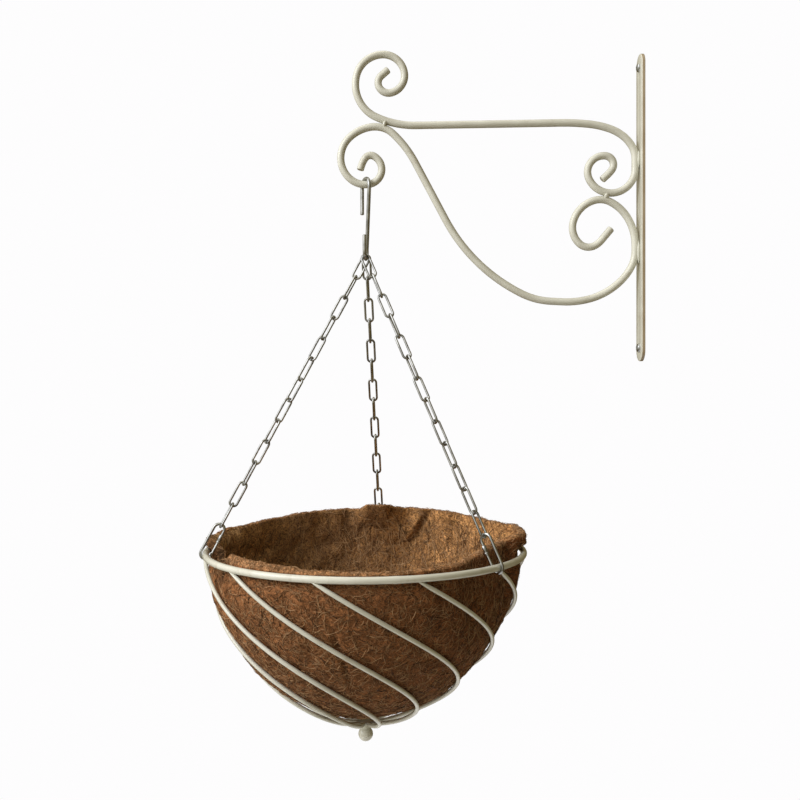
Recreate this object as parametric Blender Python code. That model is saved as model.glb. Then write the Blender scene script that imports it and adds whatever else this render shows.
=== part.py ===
"""Hanging basket on a scrolled wall bracket, in metres.

A flat wall plate carries two round rods bent into scrolls. An S-hook hangs on the lower scroll, three chains
hang on the hook, and a wire bowl with a coir liner hangs on the chains. The origin is the middle of the
plate's back face, +X runs into the wall and +Z is up.
"""

import math

import bmesh
import bpy
from mathutils import Matrix, Vector

# Clearance left where two pieces touch.
GAP = 0.0003

# Wall plate: a flat bar with round ends and a screw hole near each end.
PLATE_LENGTH = 0.336
PLATE_WIDTH = 0.025
PLATE_THICK = 0.0035
SCREW_HOLE = 0.0055
SCREW_INSET = 0.0145

# Bracket rods. A route is a row of bends (radius, turn in degrees) with left turns positive, seen with +X to
# the right and +Z up; a turn of 0 is a straight of that length.
ROD = 0.008
UPPER_WELD_Z = 0.0537
ARM_ROUTE = ((0.0285, 32), (0.038, 20), (0.052, 19), (0.100, 13), (0.255, 7), (0.1585, 0), (0.101, -19))
UPPER_SCROLL = ((0.101, -7), (0.037, -24.5), (0.040, -56.5), (0.030, -73), (0.0236, -84), (0.0194, -82),
                (0.0118, -75), (0.0105, -79), (0.010, 0))
UPPER_CURL = ((0.011, 0), (0.0265, -155), (0.018, -119.5), (0.0098, -121), (0.033, -12), (0.0085, 0))
LOWER_SCROLL = ((0.031, 27.5), (0.0435, 33), (0.0315, 44), (0.0302, 48))
SEAT_RADIUS = 0.0262
LOWER_SCROLL_END = ((0.020, 18.5), (0.0165, 132.5), (0.0075, 84), (0.029, 18), (0.005, 0))
BRACE_TOP = ((0.026, -24.5), (0.120, -19.5))
BRACE_FOOT = ((0.191, 35.5), (0.080, 23.5))
BRACE_RISE = ((0.0975, 18), (0.077, 30.5), (0.0635, 15))
BRACE_WALL_BEND = 0.039
LOWER_CURL = ((0.006, 0), (0.058, 30), (0.047, 33), (0.024, 42), (0.0335, 60), (0.024, 62), (0.0146, 69),
              (0.023, 24), (0.017, 0))

# S-hook: two bends joined by a slanting shank, each bend turned a little about the vertical (degrees).
HOOK_WIRE = 0.0042
HOOK_BEND = 0.009
HOOK_LENGTH = 0.092
HOOK_TOP_LEG = 0.029
HOOK_LOWER_LEG = 0.016
HOOK_TOP_TURN = 28
HOOK_LOWER_TURN = -6

# Chains: straight-sided links (inside length and width), and a longer connector that loops under the rim.
CHAIN_WIRE = 0.0025
LINK_LENGTH = 0.0257
LINK_WIDTH = 0.006
LINKS = 13
CONNECTOR_WIRE = 0.0028
CONNECTOR_LENGTH = 0.0374
CONNECTOR_SIDE_PLAY = 0.0008

# Bowl: a rim ring and swirling ribs that meet at a ball finial.
RIM_DIAMETER = 0.350
RIM_ROD = 0.007
BOWL_DEPTH = 0.1895
BOWL_SIDE_POWER = 1.2
BOWL_FLOOR_POWER = 1.12
RIB_COUNT = 11
RIB_WIRE = 0.0045
RIB_LEAD = 0.002
RIB_END_GAP = 0.0004
FIRST_RIB = 192.3
SWIRL = (130.5, 102.9, -135.2)
BALL = 0.016
BALL_NECK = 0.010
BALL_DROP = 0.0123

# Each chain is clipped to the rim this far before one of the ribs, round the rim: (rib, distance).
CHAIN_SEATS = {"left": (0, 0.007), "right": (4, 0.007), "back": (8, 0.024)}
# Where each chain's first link sits round the hook's lower bend, in degrees from its lowest point to the back.
HOOK_SEATS = {"left": 0, "right": -22, "back": 31}

# Liner: a coir mat that lines the ribs and stands above the rim, dented behind each connector.
LINER_THICK = 0.009
LINER_GAP = 0.0007
LINER_HEIGHT = 0.017
LINER_BACK_RISE = 0.012
DENT_CLEARANCE = 0.002
DENT_DEPTH_BELOW_RIM = 0.016
DENT_FLAT = 5
DENT_WIDTH = 15

# Facets.
BEND_SAG = 0.00025
HOOK_BEND_STEPS = 12
TOUCH_SPLITS = 8
ROD_FACETS = 2
WIRE_FACETS = 1
LINK_BEND_STEPS = 6
CONNECTOR_BEND_STEPS = 6
RIM_STEPS = 56
RIB_STEPS = 17
LINER_STEPS = 48
LINER_SIDE_STEPS = 5
ROUND_STEPS = 16

CREAM = (0.72, 0.71, 0.60, 1.0)
ZINC = (0.62, 0.63, 0.65, 1.0)
COIR = (0.20, 0.105, 0.045, 1.0)

RIM_RADIUS = (RIM_DIAMETER - RIM_ROD) / 2


def make_material(name, colour, roughness, metallic):
    material = bpy.data.materials.new(name)
    material.use_nodes = True
    shader = material.node_tree.nodes["Principled BSDF"]
    shader.inputs["Base Color"].default_value = colour
    shader.inputs["Roughness"].default_value = roughness
    shader.inputs["Metallic"].default_value = metallic
    return material


def world_location(obj):
    """None of the joint frames is turned, so their locations add up."""
    return obj.location + (world_location(obj.parent) if obj.parent else Vector())


def make_frame(name, location, parent=None):
    """An empty on a joint's axis, its location given in the world."""
    frame = bpy.data.objects.new(name, None)
    frame.empty_display_size = 0.02
    bpy.context.scene.collection.objects.link(frame)
    frame.parent = parent
    frame.location = location - (world_location(parent) if parent else Vector())
    return frame


def place(name, data, frame, placing=None):
    """An object under a joint frame, placed by a matrix in the world."""
    obj = bpy.data.objects.new(name, data)
    bpy.context.scene.collection.objects.link(obj)
    obj.parent = frame
    obj.matrix_basis = Matrix.Translation(-world_location(frame)) @ (placing or Matrix())
    return obj


def wire_data(name, points, diameter, material, facets, cyclic=False):
    """A round wire along these points."""
    curve = bpy.data.curves.new(name, "CURVE")
    curve.dimensions = "3D"
    curve.bevel_depth = diameter / 2
    curve.bevel_resolution = facets
    curve.use_fill_caps = True
    spline = curve.splines.new("POLY")
    spline.points.add(len(points) - 1)
    for slot, point in zip(spline.points, points):
        slot.co = (*point, 1.0)
    spline.use_cyclic_u = cyclic
    curve.materials.append(material)
    return curve


def mesh_data(name, shape, material):
    """A mesh of a bmesh with its faces turned outwards and its curved sides shaded smooth."""
    bmesh.ops.recalc_face_normals(shape, faces=shape.faces)
    mesh = bpy.data.meshes.new(name)
    shape.to_mesh(mesh)
    shape.free()
    mesh.shade_smooth()
    mesh.set_sharp_from_angle(angle=math.radians(40))
    mesh.materials.append(material)
    return mesh


def heading_vector(heading):
    angle = math.radians(heading)
    return Vector((math.cos(angle), math.sin(angle)))


def left_of(heading):
    return heading_vector(heading + 90)


def bend_steps(radius, turn):
    """Enough chords for a bend that none leaves it by more than the sag."""
    return max(1, round(abs(turn) / math.degrees(2 * math.acos(1 - BEND_SAG / radius))))


def follow(start, heading, route):
    """The points of a route after its start, in the plane, and the heading at its end."""
    points = []
    here = start
    for size, turn in route:
        if turn == 0:
            here = here + size * heading_vector(heading)
            points.append(here)
            continue
        side = math.copysign(size, turn)
        centre = here + side * left_of(heading)
        steps = bend_steps(size, turn)
        for step in range(1, steps + 1):
            points.append(centre - side * left_of(heading + turn * step / steps))
        heading += turn
        here = points[-1]
    return points, heading


def arc(centre, radius, start, end, steps):
    turns = [start + (end - start) * step / steps for step in range(steps + 1)]
    return [centre + radius * heading_vector(turn) for turn in turns]


def in_wall_plane(points):
    return [Vector((x, 0.0, z)) for x, z in points]


def upper_rod_route():
    """The rod from its outer scroll along the arm to its curl by the wall, the curl alone, and the place and
    heading where the lower rod is welded under it."""
    contact = Vector((-(PLATE_THICK + GAP + ROD / 2), UPPER_WELD_Z))
    arm, heading = follow(contact, 90, ARM_ROUTE)
    scroll, _ = follow(arm[-1], heading, UPPER_SCROLL)
    curl, _ = follow(contact, -90, UPPER_CURL)
    return [*reversed(scroll), *reversed(arm), contact, *curl], curl, arm[-1], heading


def split_finely(points):
    """The points of a line with more between them."""
    pairs = zip(points, points[1:])
    return [one.lerp(two, share / TOUCH_SPLITS) for one, two in pairs for share in range(TOUCH_SPLITS + 1)]


def rise_to_touch(upper, lower):
    """How far up the lower points go until the two rods touch, but for the gap."""
    reach = ROD + GAP
    rises = []
    for high in split_finely(upper):
        for low in split_finely(lower):
            across = abs(high.x - low.x)
            if across < reach:
                rises.append(high.y - low.y - math.sqrt(reach**2 - across**2))
    return min(rises)


def lower_rod_route(upper_curl, weld, heading):
    """The rod from the hook's scroll down the brace to its curl by the wall, and the hook's seat."""
    join = weld + (ROD + GAP) * left_of(heading)
    scroll, here = follow(join, heading, LOWER_SCROLL)
    bottom, here = follow(scroll[-1], here, ((SEAT_RADIUS, 360 - here),))
    tail, _ = follow(bottom[-1], here, LOWER_SCROLL_END)

    contact = Vector((-(PLATE_THICK + GAP + ROD / 2), 0.0))
    curl, _ = follow(contact, 90, LOWER_CURL)
    rise = Vector((0.0, rise_to_touch(upper_curl, curl)))
    contact = contact + rise
    curl = [point + rise for point in curl]

    # The brace's two straights take up what its bends leave between the two welds.
    down = heading - 180
    top, slope = follow(join, down, BRACE_TOP)
    foot, level = follow(top[-1], slope, BRACE_FOOT)
    to_wall, steep = follow(foot[-1], level, BRACE_RISE)
    up, _ = follow(to_wall[-1], steep, ((BRACE_WALL_BEND, 90 - steep),))
    missing = contact - up[-1]
    along, across = heading_vector(slope), heading_vector(level)
    area = along.cross(across)
    straights = (missing.cross(across) / area, 0), (along.cross(missing) / area, 0)
    brace, _ = follow(join, down, (*BRACE_TOP, straights[0], *BRACE_FOOT, straights[1], *BRACE_RISE,
                                   (BRACE_WALL_BEND, 90 - steep)))
    return [*reversed(tail), *reversed(scroll + bottom), join, *brace, *curl], bottom[-1]


def make_bracket(frame, paint):
    """The plate and its two rods. Returns the middle of the rod where the hook hangs."""
    plate = bmesh.new()
    half = (PLATE_LENGTH - PLATE_WIDTH) / 2
    outline = arc(Vector((0.0, half)), PLATE_WIDTH / 2, 0, 180, ROUND_STEPS // 2)
    outline += arc(Vector((0.0, -half)), PLATE_WIDTH / 2, 180, 360, ROUND_STEPS // 2)
    face = plate.faces.new([plate.verts.new((0.0, y, z)) for y, z in outline])
    front = bmesh.ops.extrude_face_region(plate, geom=[face])
    moved = [item for item in front["geom"] if isinstance(item, bmesh.types.BMVert)]
    bmesh.ops.translate(plate, verts=moved, vec=(-PLATE_THICK, 0.0, 0.0))
    wall_plate = place("wall_plate", mesh_data("wall_plate", plate, paint), frame)
    screw_z = PLATE_LENGTH / 2 - SCREW_INSET
    for side in (1, -1):
        cutter = bmesh.new()
        bmesh.ops.create_cone(cutter, cap_ends=True, segments=ROUND_STEPS, radius1=SCREW_HOLE / 2,
                              radius2=SCREW_HOLE / 2, depth=4 * PLATE_THICK,
                              matrix=Matrix.Rotation(math.pi / 2, 4, "Y"))
        hole = place(f"screw_hole_{side}", mesh_data("screw_hole", cutter, paint), frame,
                     Matrix.Translation((0.0, 0.0, side * screw_z)))
        hole.hide_render = True
        hole.display_type = "WIRE"
        cut = wall_plate.modifiers.new("screw hole", "BOOLEAN")
        cut.object = hole

    upper, upper_curl, weld, heading = upper_rod_route()
    lower, seat = lower_rod_route(upper_curl, weld, heading)
    for name, points in (("upper_scroll_rod", upper), ("lower_scroll_rod", lower)):
        place(name, wire_data(name, in_wall_plane(points), ROD, paint, ROD_FACETS), frame)
    return Vector((seat.x, 0.0, seat.y))


def hook_forward(turn):
    """Away from the hook's middle towards the front, turned about the vertical."""
    angle = math.radians(turn)
    return Vector((math.sin(angle), -math.cos(angle), 0.0))


def hook_middles(seat):
    """Heights of the middles of the hook's two bends when it hangs on its seat."""
    top = seat.z + ROD / 2 + GAP + HOOK_WIRE / 2 - HOOK_BEND
    return top, top + 2 * HOOK_BEND + HOOK_WIRE - HOOK_LENGTH


def make_hook(frame, seat, zinc):
    top, low = hook_middles(seat)
    lean = math.degrees(math.asin(2 * HOOK_BEND / (top - low)))
    upper, lower = Vector((0.0, top)), Vector((0.0, low))
    top_bend = [
        upper - Vector((HOOK_BEND, HOOK_TOP_LEG)),
        *arc(upper, HOOK_BEND, 180, -lean, HOOK_BEND_STEPS),
    ]
    lower_bend = [
        *arc(lower, HOOK_BEND, 180 - lean, 360, HOOK_BEND_STEPS),
        lower + Vector((HOOK_BEND, HOOK_LOWER_LEG)),
    ]
    points = []
    for bend, turn in ((top_bend, HOOK_TOP_TURN), (lower_bend, HOOK_LOWER_TURN)):
        points += [Vector((seat.x, 0.0, height)) + across * hook_forward(turn) for across, height in bend]
    place("s_hook", wire_data("s_hook", [p - seat for p in points], HOOK_WIRE, zinc, ROD_FACETS), frame,
          Matrix.Translation(seat))


def loop_points(length, width, wire, steps):
    """A link of this inside length and width, hanging from its inside top at the origin, flat across Y."""
    radius = (width + wire) / 2
    upper = arc(Vector((0.0, -width / 2)), radius, 0, 180, steps)
    lower = arc(Vector((0.0, width / 2 - length)), radius, 180, 360, steps)
    return in_wall_plane(upper + lower)


def azimuth_vector(azimuth):
    return heading_vector(azimuth).to_3d()


def rib_azimuth(rib):
    return FIRST_RIB + 360 / RIB_COUNT * rib


def chain_azimuth(chain):
    rib, distance = CHAIN_SEATS[chain]
    return rib_azimuth(rib) - math.degrees(distance / RIM_RADIUS)


def hook_seat(chain, seat):
    """The middle of the hook's wire where a chain's first link hangs, and the way the wire runs there."""
    angle = math.radians(HOOK_SEATS[chain])
    back = -hook_forward(HOOK_LOWER_TURN)
    up = Vector((0.0, 0.0, 1.0))
    middle = Vector((seat.x, 0.0, hook_middles(seat)[1]))
    wire = middle + HOOK_BEND * (math.sin(angle) * back - math.cos(angle) * up)
    return wire, math.cos(angle) * back + math.sin(angle) * up


def chain_reach():
    """From the middle of the hook's wire to the middle of the rim's rod, along a chain, before its gaps."""
    return LINKS * LINK_LENGTH + CONNECTOR_LENGTH - RIM_ROD / 2 - HOOK_WIRE / 2


def rim_middle(seat):
    """The middle of the rim, as far below the hook as the left chain lets it hang."""
    wire, _ = hook_seat("left", seat)
    level = Vector((seat.x, 0.0, wire.z)) + RIM_RADIUS * azimuth_vector(chain_azimuth("left")) - wire
    reach = chain_reach() - (LINKS + 2) * GAP
    return Vector((seat.x, 0.0, wire.z - math.sqrt(reach**2 - level.length_squared)))


def make_chain(chain, link, connector, frame, seat, rim):
    """Links that hang in each other from the hook to the rim, each turned about a quarter from the last."""
    wire, wire_way = hook_seat(chain, seat)
    azimuth = chain_azimuth(chain)
    end = rim + RIM_RADIUS * azimuth_vector(azimuth)
    down = (end - wire).normalized()
    gap = (chain_reach() - (end - wire).length) / (LINKS + 2)
    sideways = azimuth_vector(azimuth + 90)
    inward = down.cross(sideways).normalized()

    # The connector stands across the rim, and the first link across the hook's wire.
    first_width = wire_way.cross(down)
    first_turn = math.degrees(math.atan2(first_width.dot(sideways), first_width.dot(inward)))
    half_turns = round((first_turn + 90 * LINKS) / 180)
    step = (180 * half_turns - first_turn) / LINKS
    for index in range(LINKS + 1):
        turn = heading_vector(first_turn + step * index)
        width = turn.x * inward + turn.y * sideways
        axes = Matrix((width, width.cross(down), -down)).transposed().to_4x4()
        top = wire + (index * (LINK_LENGTH - gap) - HOOK_WIRE / 2 - gap) * down
        placing = Matrix.Translation(top) @ axes
        if index < LINKS:
            place(f"{chain}_chain_link_{index + 1:02d}", link, frame, placing)
        else:
            place(f"{chain}_rim_connector", connector, frame, placing)


def bowl_profile(share):
    """Radius and drop of the ribs' middle line, from the rim at 0 to the middle of the floor at 1."""
    angle = share * math.pi / 2
    return RIM_RADIUS * math.cos(angle) ** BOWL_SIDE_POWER, BOWL_DEPTH * math.sin(angle) ** BOWL_FLOOR_POWER


def share_at_drop(drop):
    return math.asin((drop / BOWL_DEPTH) ** (1 / BOWL_FLOOR_POWER)) * 2 / math.pi


def share_at_radius(radius):
    return math.acos((radius / RIM_RADIUS) ** (1 / BOWL_SIDE_POWER)) * 2 / math.pi


def rib_end_radius():
    """The ribs end side by side round the finial's hub."""
    return RIB_COUNT * (RIB_WIRE + RIB_END_GAP) / (2 * math.pi)


def rib_points():
    """One rib below the rim's middle, starting at azimuth 0."""
    seat = RIM_ROD / 2 + GAP
    start = share_at_drop(seat + RIB_LEAD)
    end = share_at_radius(rib_end_radius())
    points = []
    for step in range(RIB_STEPS + 1):
        share = start + (end - start) * step / RIB_STEPS
        radius, drop = bowl_profile(share)
        swirl = sum(rate * (share ** (power + 1) - start ** (power + 1)) for power, rate in enumerate(SWIRL))
        points.append(radius * azimuth_vector(swirl) - Vector((0.0, 0.0, drop)))
    lead = Vector((points[0].x, points[0].y, -seat))
    return [lead, *points]


def turned(profile, steps):
    """A solid turned round the Z axis from points (radius, height) that start and end on the axis."""
    shape = bmesh.new()
    verts = [shape.verts.new((radius, 0.0, height)) for radius, height in profile]
    edges = [shape.edges.new(pair) for pair in zip(verts, verts[1:])]
    bmesh.ops.spin(shape, geom=verts + edges, cent=(0, 0, 0), axis=(0, 0, 1), angle=2 * math.pi, steps=steps,
                   use_merge=True)
    bmesh.ops.remove_doubles(shape, verts=shape.verts, dist=1e-6)
    return shape


def make_finial(frame, rim, paint):
    """A ball under a hub that the ribs are welded round."""
    hub = rib_end_radius() - GAP
    under = -BOWL_DEPTH - RIB_WIRE / 2
    middle = Vector((0.0, -BOWL_DEPTH - BALL_DROP))
    neck = math.degrees(math.acos(BALL_NECK / BALL))
    ball = arc(middle, BALL / 2, neck, -90, ROUND_STEPS // 2)
    profile = [(0.0, under + RIB_WIRE), (hub, under + RIB_WIRE), (hub, under), (BALL_NECK / 2, under), *ball[:-1],
               (0.0, middle.y - BALL / 2)]
    place("ball_finial", mesh_data("ball_finial", turned(profile, ROUND_STEPS), paint), frame,
          Matrix.Translation(rim))


def make_bowl(frame, rim, paint):
    circle = [RIM_RADIUS * azimuth_vector(360 * step / RIM_STEPS) for step in range(RIM_STEPS)]
    ring = wire_data("rim_ring", circle, RIM_ROD, paint, ROD_FACETS, cyclic=True)
    place("rim_ring", ring, frame, Matrix.Translation(rim))
    rib = wire_data("rib", rib_points(), RIB_WIRE, paint, WIRE_FACETS)
    for index in range(RIB_COUNT):
        turn = Matrix.Rotation(math.radians(rib_azimuth(index)), 4, "Z")
        place(f"rib_{index + 1:02d}", rib, frame, Matrix.Translation(rim) @ turn)
    make_finial(frame, rim, paint)


def offset_profile(share, inwards):
    """A point of the bowl's profile moved square to it, towards the inside."""
    step = 1e-3
    near = Vector(bowl_profile(max(0.0, share - step)))
    far = Vector(bowl_profile(min(1.0, share + step)))
    slope = (far - near).normalized()
    return Vector(bowl_profile(share)) + inwards * Vector((-slope.y, slope.x))


def dent_share(azimuth):
    """1 behind a connector, easing to 0 away from it."""
    away = min(abs((azimuth - chain_azimuth(chain) + 180) % 360 - 180) for chain in CHAIN_SEATS)
    ease = min(1.0, max(0.0, (DENT_WIDTH - away) / (DENT_WIDTH - DENT_FLAT)))
    return ease * ease * (3 - 2 * ease)


def liner_rim_radius(height, azimuth, lean):
    """Outer radius of the liner near the rim: inside the rim's rod, and behind the connectors in the dents."""
    wall = RIM_RADIUS - RIM_ROD / 2 - GAP
    side = (RIM_ROD / 2 + CONNECTOR_SIDE_PLAY + CONNECTOR_WIRE) * math.hypot(1.0, lean)
    behind = RIM_RADIUS - side - lean * height - DENT_CLEARANCE
    return wall - max(0.0, wall - behind) * dent_share(azimuth)


def liner_column(azimuth, lean):
    """Points (radius, height) of the liner's section, from the outside middle of its floor over its top edge to
    the inside middle of its floor."""
    out, into = RIB_WIRE / 2 + LINER_GAP, RIB_WIRE / 2 + LINER_GAP + LINER_THICK
    top = LINER_HEIGHT + LINER_BACK_RISE * math.sin(math.radians(azimuth))
    start = share_at_drop(DENT_DEPTH_BELOW_RIM)
    shares = [1 - (1 - start) * step / LINER_SIDE_STEPS for step in range(1, LINER_SIDE_STEPS + 1)]
    below = [offset_profile(share, out) for share in shares]
    outside = [Vector((point.x, -point.y)) for point in below]
    wall = [-DENT_DEPTH_BELOW_RIM / 2, 0.0, top]
    edge = [Vector((liner_rim_radius(height, azimuth, lean), height)) for height in wall]
    inner_edge = [point - Vector((LINER_THICK, 0.0)) for point in (edge[2], edge[1])]
    above = [offset_profile(share, into) for share in reversed(shares)]
    inside = [Vector((point.x, -point.y)) for point in above]
    return [*outside, *edge, *inner_edge, *inside]


def make_liner(frame, rim, seat, coir):
    lean = RIM_RADIUS / (hook_seat("left", seat)[0].z - rim.z)
    shape = bmesh.new()
    columns = []
    for step in range(LINER_STEPS):
        azimuth = 360 * step / LINER_STEPS
        way = azimuth_vector(azimuth)
        column = liner_column(azimuth, lean)
        columns.append([shape.verts.new(radius * way + Vector((0, 0, height))) for radius, height in column])
    under = -BOWL_DEPTH + RIB_WIRE / 2 + LINER_GAP
    floor = shape.verts.new((0.0, 0.0, under))
    top_of_floor = shape.verts.new((0.0, 0.0, under + LINER_THICK))
    for one, two in zip(columns, columns[1:] + columns[:1]):
        for low, high in zip(range(len(one)), range(1, len(one))):
            shape.faces.new((one[low], two[low], two[high], one[high]))
        shape.faces.new((floor, two[0], one[0]))
        shape.faces.new((top_of_floor, one[-1], two[-1]))
    place("coir_liner", mesh_data("coir_liner", shape, coir), frame, Matrix.Translation(rim))


def main():
    for obj in list(bpy.data.objects):
        bpy.data.objects.remove(obj)
    paint = make_material("cream paint", CREAM, 0.45, 0.0)
    zinc = make_material("zinc", ZINC, 0.25, 1.0)
    coir = make_material("coir", COIR, 0.95, 0.0)

    bracket_frame = make_frame("bracket", Vector())
    seat = make_bracket(bracket_frame, paint)
    hook_frame = make_frame("hook_swing", seat, bracket_frame)
    make_hook(hook_frame, seat, zinc)

    heights = [hook_seat(chain, seat)[0].z for chain in CHAIN_SEATS]
    swing = Vector((seat.x, 0.0, sum(heights) / len(heights)))
    basket_frame = make_frame("basket_swing", swing, hook_frame)
    rim = rim_middle(seat)
    link = wire_data("chain_link", loop_points(LINK_LENGTH, LINK_WIDTH, CHAIN_WIRE, LINK_BEND_STEPS),
                     CHAIN_WIRE, zinc, WIRE_FACETS, cyclic=True)
    connector_width = RIM_ROD + 2 * CONNECTOR_SIDE_PLAY
    connector = wire_data(
        "rim_connector", loop_points(CONNECTOR_LENGTH, connector_width, CONNECTOR_WIRE, CONNECTOR_BEND_STEPS),
        CONNECTOR_WIRE, zinc, WIRE_FACETS, cyclic=True)
    for chain in CHAIN_SEATS:
        make_chain(chain, link, connector, basket_frame, seat, rim)
    make_bowl(basket_frame, rim, paint)
    make_liner(basket_frame, rim, seat, coir)


main()
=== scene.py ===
"""The looks of the hanging basket: painted wires, zinc chains, welds, screws and a fibrous coir liner."""

import math

import bmesh
import bpy
import numpy as np
from mathutils import Matrix, Vector, noise


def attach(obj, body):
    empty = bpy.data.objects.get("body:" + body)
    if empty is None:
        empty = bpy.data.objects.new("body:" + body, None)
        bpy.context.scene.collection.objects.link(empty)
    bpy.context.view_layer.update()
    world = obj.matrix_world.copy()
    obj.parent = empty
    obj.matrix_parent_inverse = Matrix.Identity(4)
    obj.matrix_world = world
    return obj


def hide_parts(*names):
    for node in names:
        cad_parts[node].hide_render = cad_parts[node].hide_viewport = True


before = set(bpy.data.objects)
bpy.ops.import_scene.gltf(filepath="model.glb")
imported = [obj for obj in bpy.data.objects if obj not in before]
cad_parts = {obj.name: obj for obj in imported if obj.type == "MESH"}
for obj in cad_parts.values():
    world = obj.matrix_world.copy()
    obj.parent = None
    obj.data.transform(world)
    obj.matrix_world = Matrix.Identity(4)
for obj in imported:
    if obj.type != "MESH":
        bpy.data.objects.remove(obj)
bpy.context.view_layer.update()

# Sizes repeated from the part, in metres and degrees. A route's rows are (radius, turn), or (length, 0).
GAP = 0.0003
PLATE_LENGTH = 0.336
PLATE_WIDTH = 0.025
PLATE_THICK = 0.0035
SCREW_HOLE = 0.0055
SCREW_FROM_END = 0.0145
ROD = 0.008
UPPER_WELD_Z = 0.0537
ARM_ROUTE = ((0.0285, 32), (0.038, 20), (0.052, 19), (0.100, 13), (0.255, 7), (0.1585, 0), (0.101, -19))
UPPER_SCROLL = ((0.101, -7), (0.037, -24.5), (0.040, -56.5), (0.030, -73), (0.0236, -84), (0.0194, -82),
                (0.0118, -75), (0.0105, -79), (0.010, 0))
UPPER_CURL = ((0.011, 0), (0.0265, -155), (0.018, -119.5), (0.0098, -121), (0.033, -12), (0.0085, 0))
LOWER_SCROLL = ((0.031, 27.5), (0.0435, 33), (0.0315, 44), (0.0302, 48))
SEAT_RADIUS = 0.0262
LOWER_SCROLL_END = ((0.020, 18.5), (0.0165, 132.5), (0.0075, 84), (0.029, 18), (0.005, 0))
BRACE_TOP = ((0.026, -24.5), (0.120, -19.5))
BRACE_FOOT = ((0.191, 35.5), (0.080, 23.5))
BRACE_RISE = ((0.0975, 18), (0.077, 30.5), (0.0635, 15))
BRACE_WALL_BEND = 0.039
LOWER_CURL = ((0.006, 0), (0.058, 30), (0.047, 33), (0.024, 42), (0.0335, 60), (0.024, 62), (0.0146, 69),
              (0.023, 24), (0.017, 0))
HOOK_WIRE = 0.0042
HOOK_BEND = 0.009
HOOK_LENGTH = 0.092
HOOK_TOP_LEG = 0.029
HOOK_LOWER_LEG = 0.016
HOOK_TOP_TURN = 28
HOOK_LOWER_TURN = -6
CHAIN_WIRE = 0.0025
LINK_LENGTH = 0.0257
LINK_WIDTH = 0.006
LINKS = 13
CONNECTOR_WIRE = 0.0028
CONNECTOR_LENGTH = 0.0374
CONNECTOR_SIDE_PLAY = 0.0008
RIM_DIAMETER = 0.350
RIM_ROD = 0.007
BOWL_DEPTH = 0.1895
BOWL_SIDE_POWER = 1.2
BOWL_FLOOR_POWER = 1.12
RIB_COUNT = 11
RIB_WIRE = 0.0045
RIB_LEAD = 0.002
RIB_END_GAP = 0.0004
FIRST_RIB = 192.3
SWIRL = (130.5, 102.9, -135.2)
BALL = 0.016
BALL_NECK = 0.010
BALL_DROP = 0.0123
CHAIN_SEATS = {"left": (0, 0.007), "right": (4, 0.007), "back": (8, 0.024)}
HOOK_SEATS = {"left": 0, "right": -22, "back": 31}
LINER_THICK = 0.009
LINER_GAP = 0.0007
SCREW_Z = PLATE_LENGTH / 2 - SCREW_FROM_END
RIM_RADIUS = (RIM_DIAMETER - RIM_ROD) / 2
LINER_WALL = RIM_RADIUS - RIM_ROD / 2 - GAP

# Fineness of the visible shapes, and the easing of their edges.
BEND_SAG = 0.00003
TOUCH_SPACING = 0.0004
ROD_SIDES = 20
HOOK_SIDES = 16
LINK_SIDES = 10
CONNECTOR_SIDES = 14
SLEEVE_SIDES = 16
RIB_SIDES = 14
PLATE_END_STEPS = 24
HOLE_STEPS = 24
SCREW_STEPS = 72
HEAD_STEPS = 13
LINK_BEND_STEPS = 12
HOOK_BEND_STEPS = 28
SHANK_STEPS = 8
RIM_STEPS = 160
RIB_STEPS = 72
BALL_STEPS = 28
FINIAL_STEPS = 40
PLATE_EASING = 0.0007
ROD_CHAMFER = 0.0007
HOOK_CHAMFER = 0.0005
RIB_CHAMFER = 0.0004
HUB_CHAMFER = 0.0008
HUB_UNDER_CHAMFER = 0.0006
WAIST_FILLET = 0.0007

rng = np.random.default_rng(11)


class Nodes:
    """A node tree, built one call at a time."""

    def __init__(self, tree):
        self.tree = tree

    def add(self, kind, settings=None, **inputs):
        """A new node. In the names of its inputs an underscore stands for a space."""
        made = self.tree.nodes.new(kind)
        for key, value in (settings or {}).items():
            setattr(made, key, value)
        for key, value in inputs.items():
            self.give(made.inputs[key.replace("_", " ")], value)
        return made

    def give(self, socket, value):
        if isinstance(value, bpy.types.NodeSocket):
            self.tree.links.new(value, socket)
        else:
            socket.default_value = value

    def ramp(self, value, *stops):
        """A colour ramp over (position, colour) stops."""
        made = self.add("ShaderNodeValToRGB", Fac=value)
        row = made.color_ramp.elements
        for position, _ in stops[1:-1]:
            row.new(position)
        for element, (position, colour) in zip(row, stops):
            element.position = position
            element.color = (*colour, 1.0)
        return made.outputs["Color"]

    def span(self, value, start, end):
        """A value mapped from one range to another."""
        made = self.add("ShaderNodeMapRange", Value=value, From_Min=start[0], From_Max=start[1],
                        To_Min=end[0], To_Max=end[1])
        return made.outputs["Result"]


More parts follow.
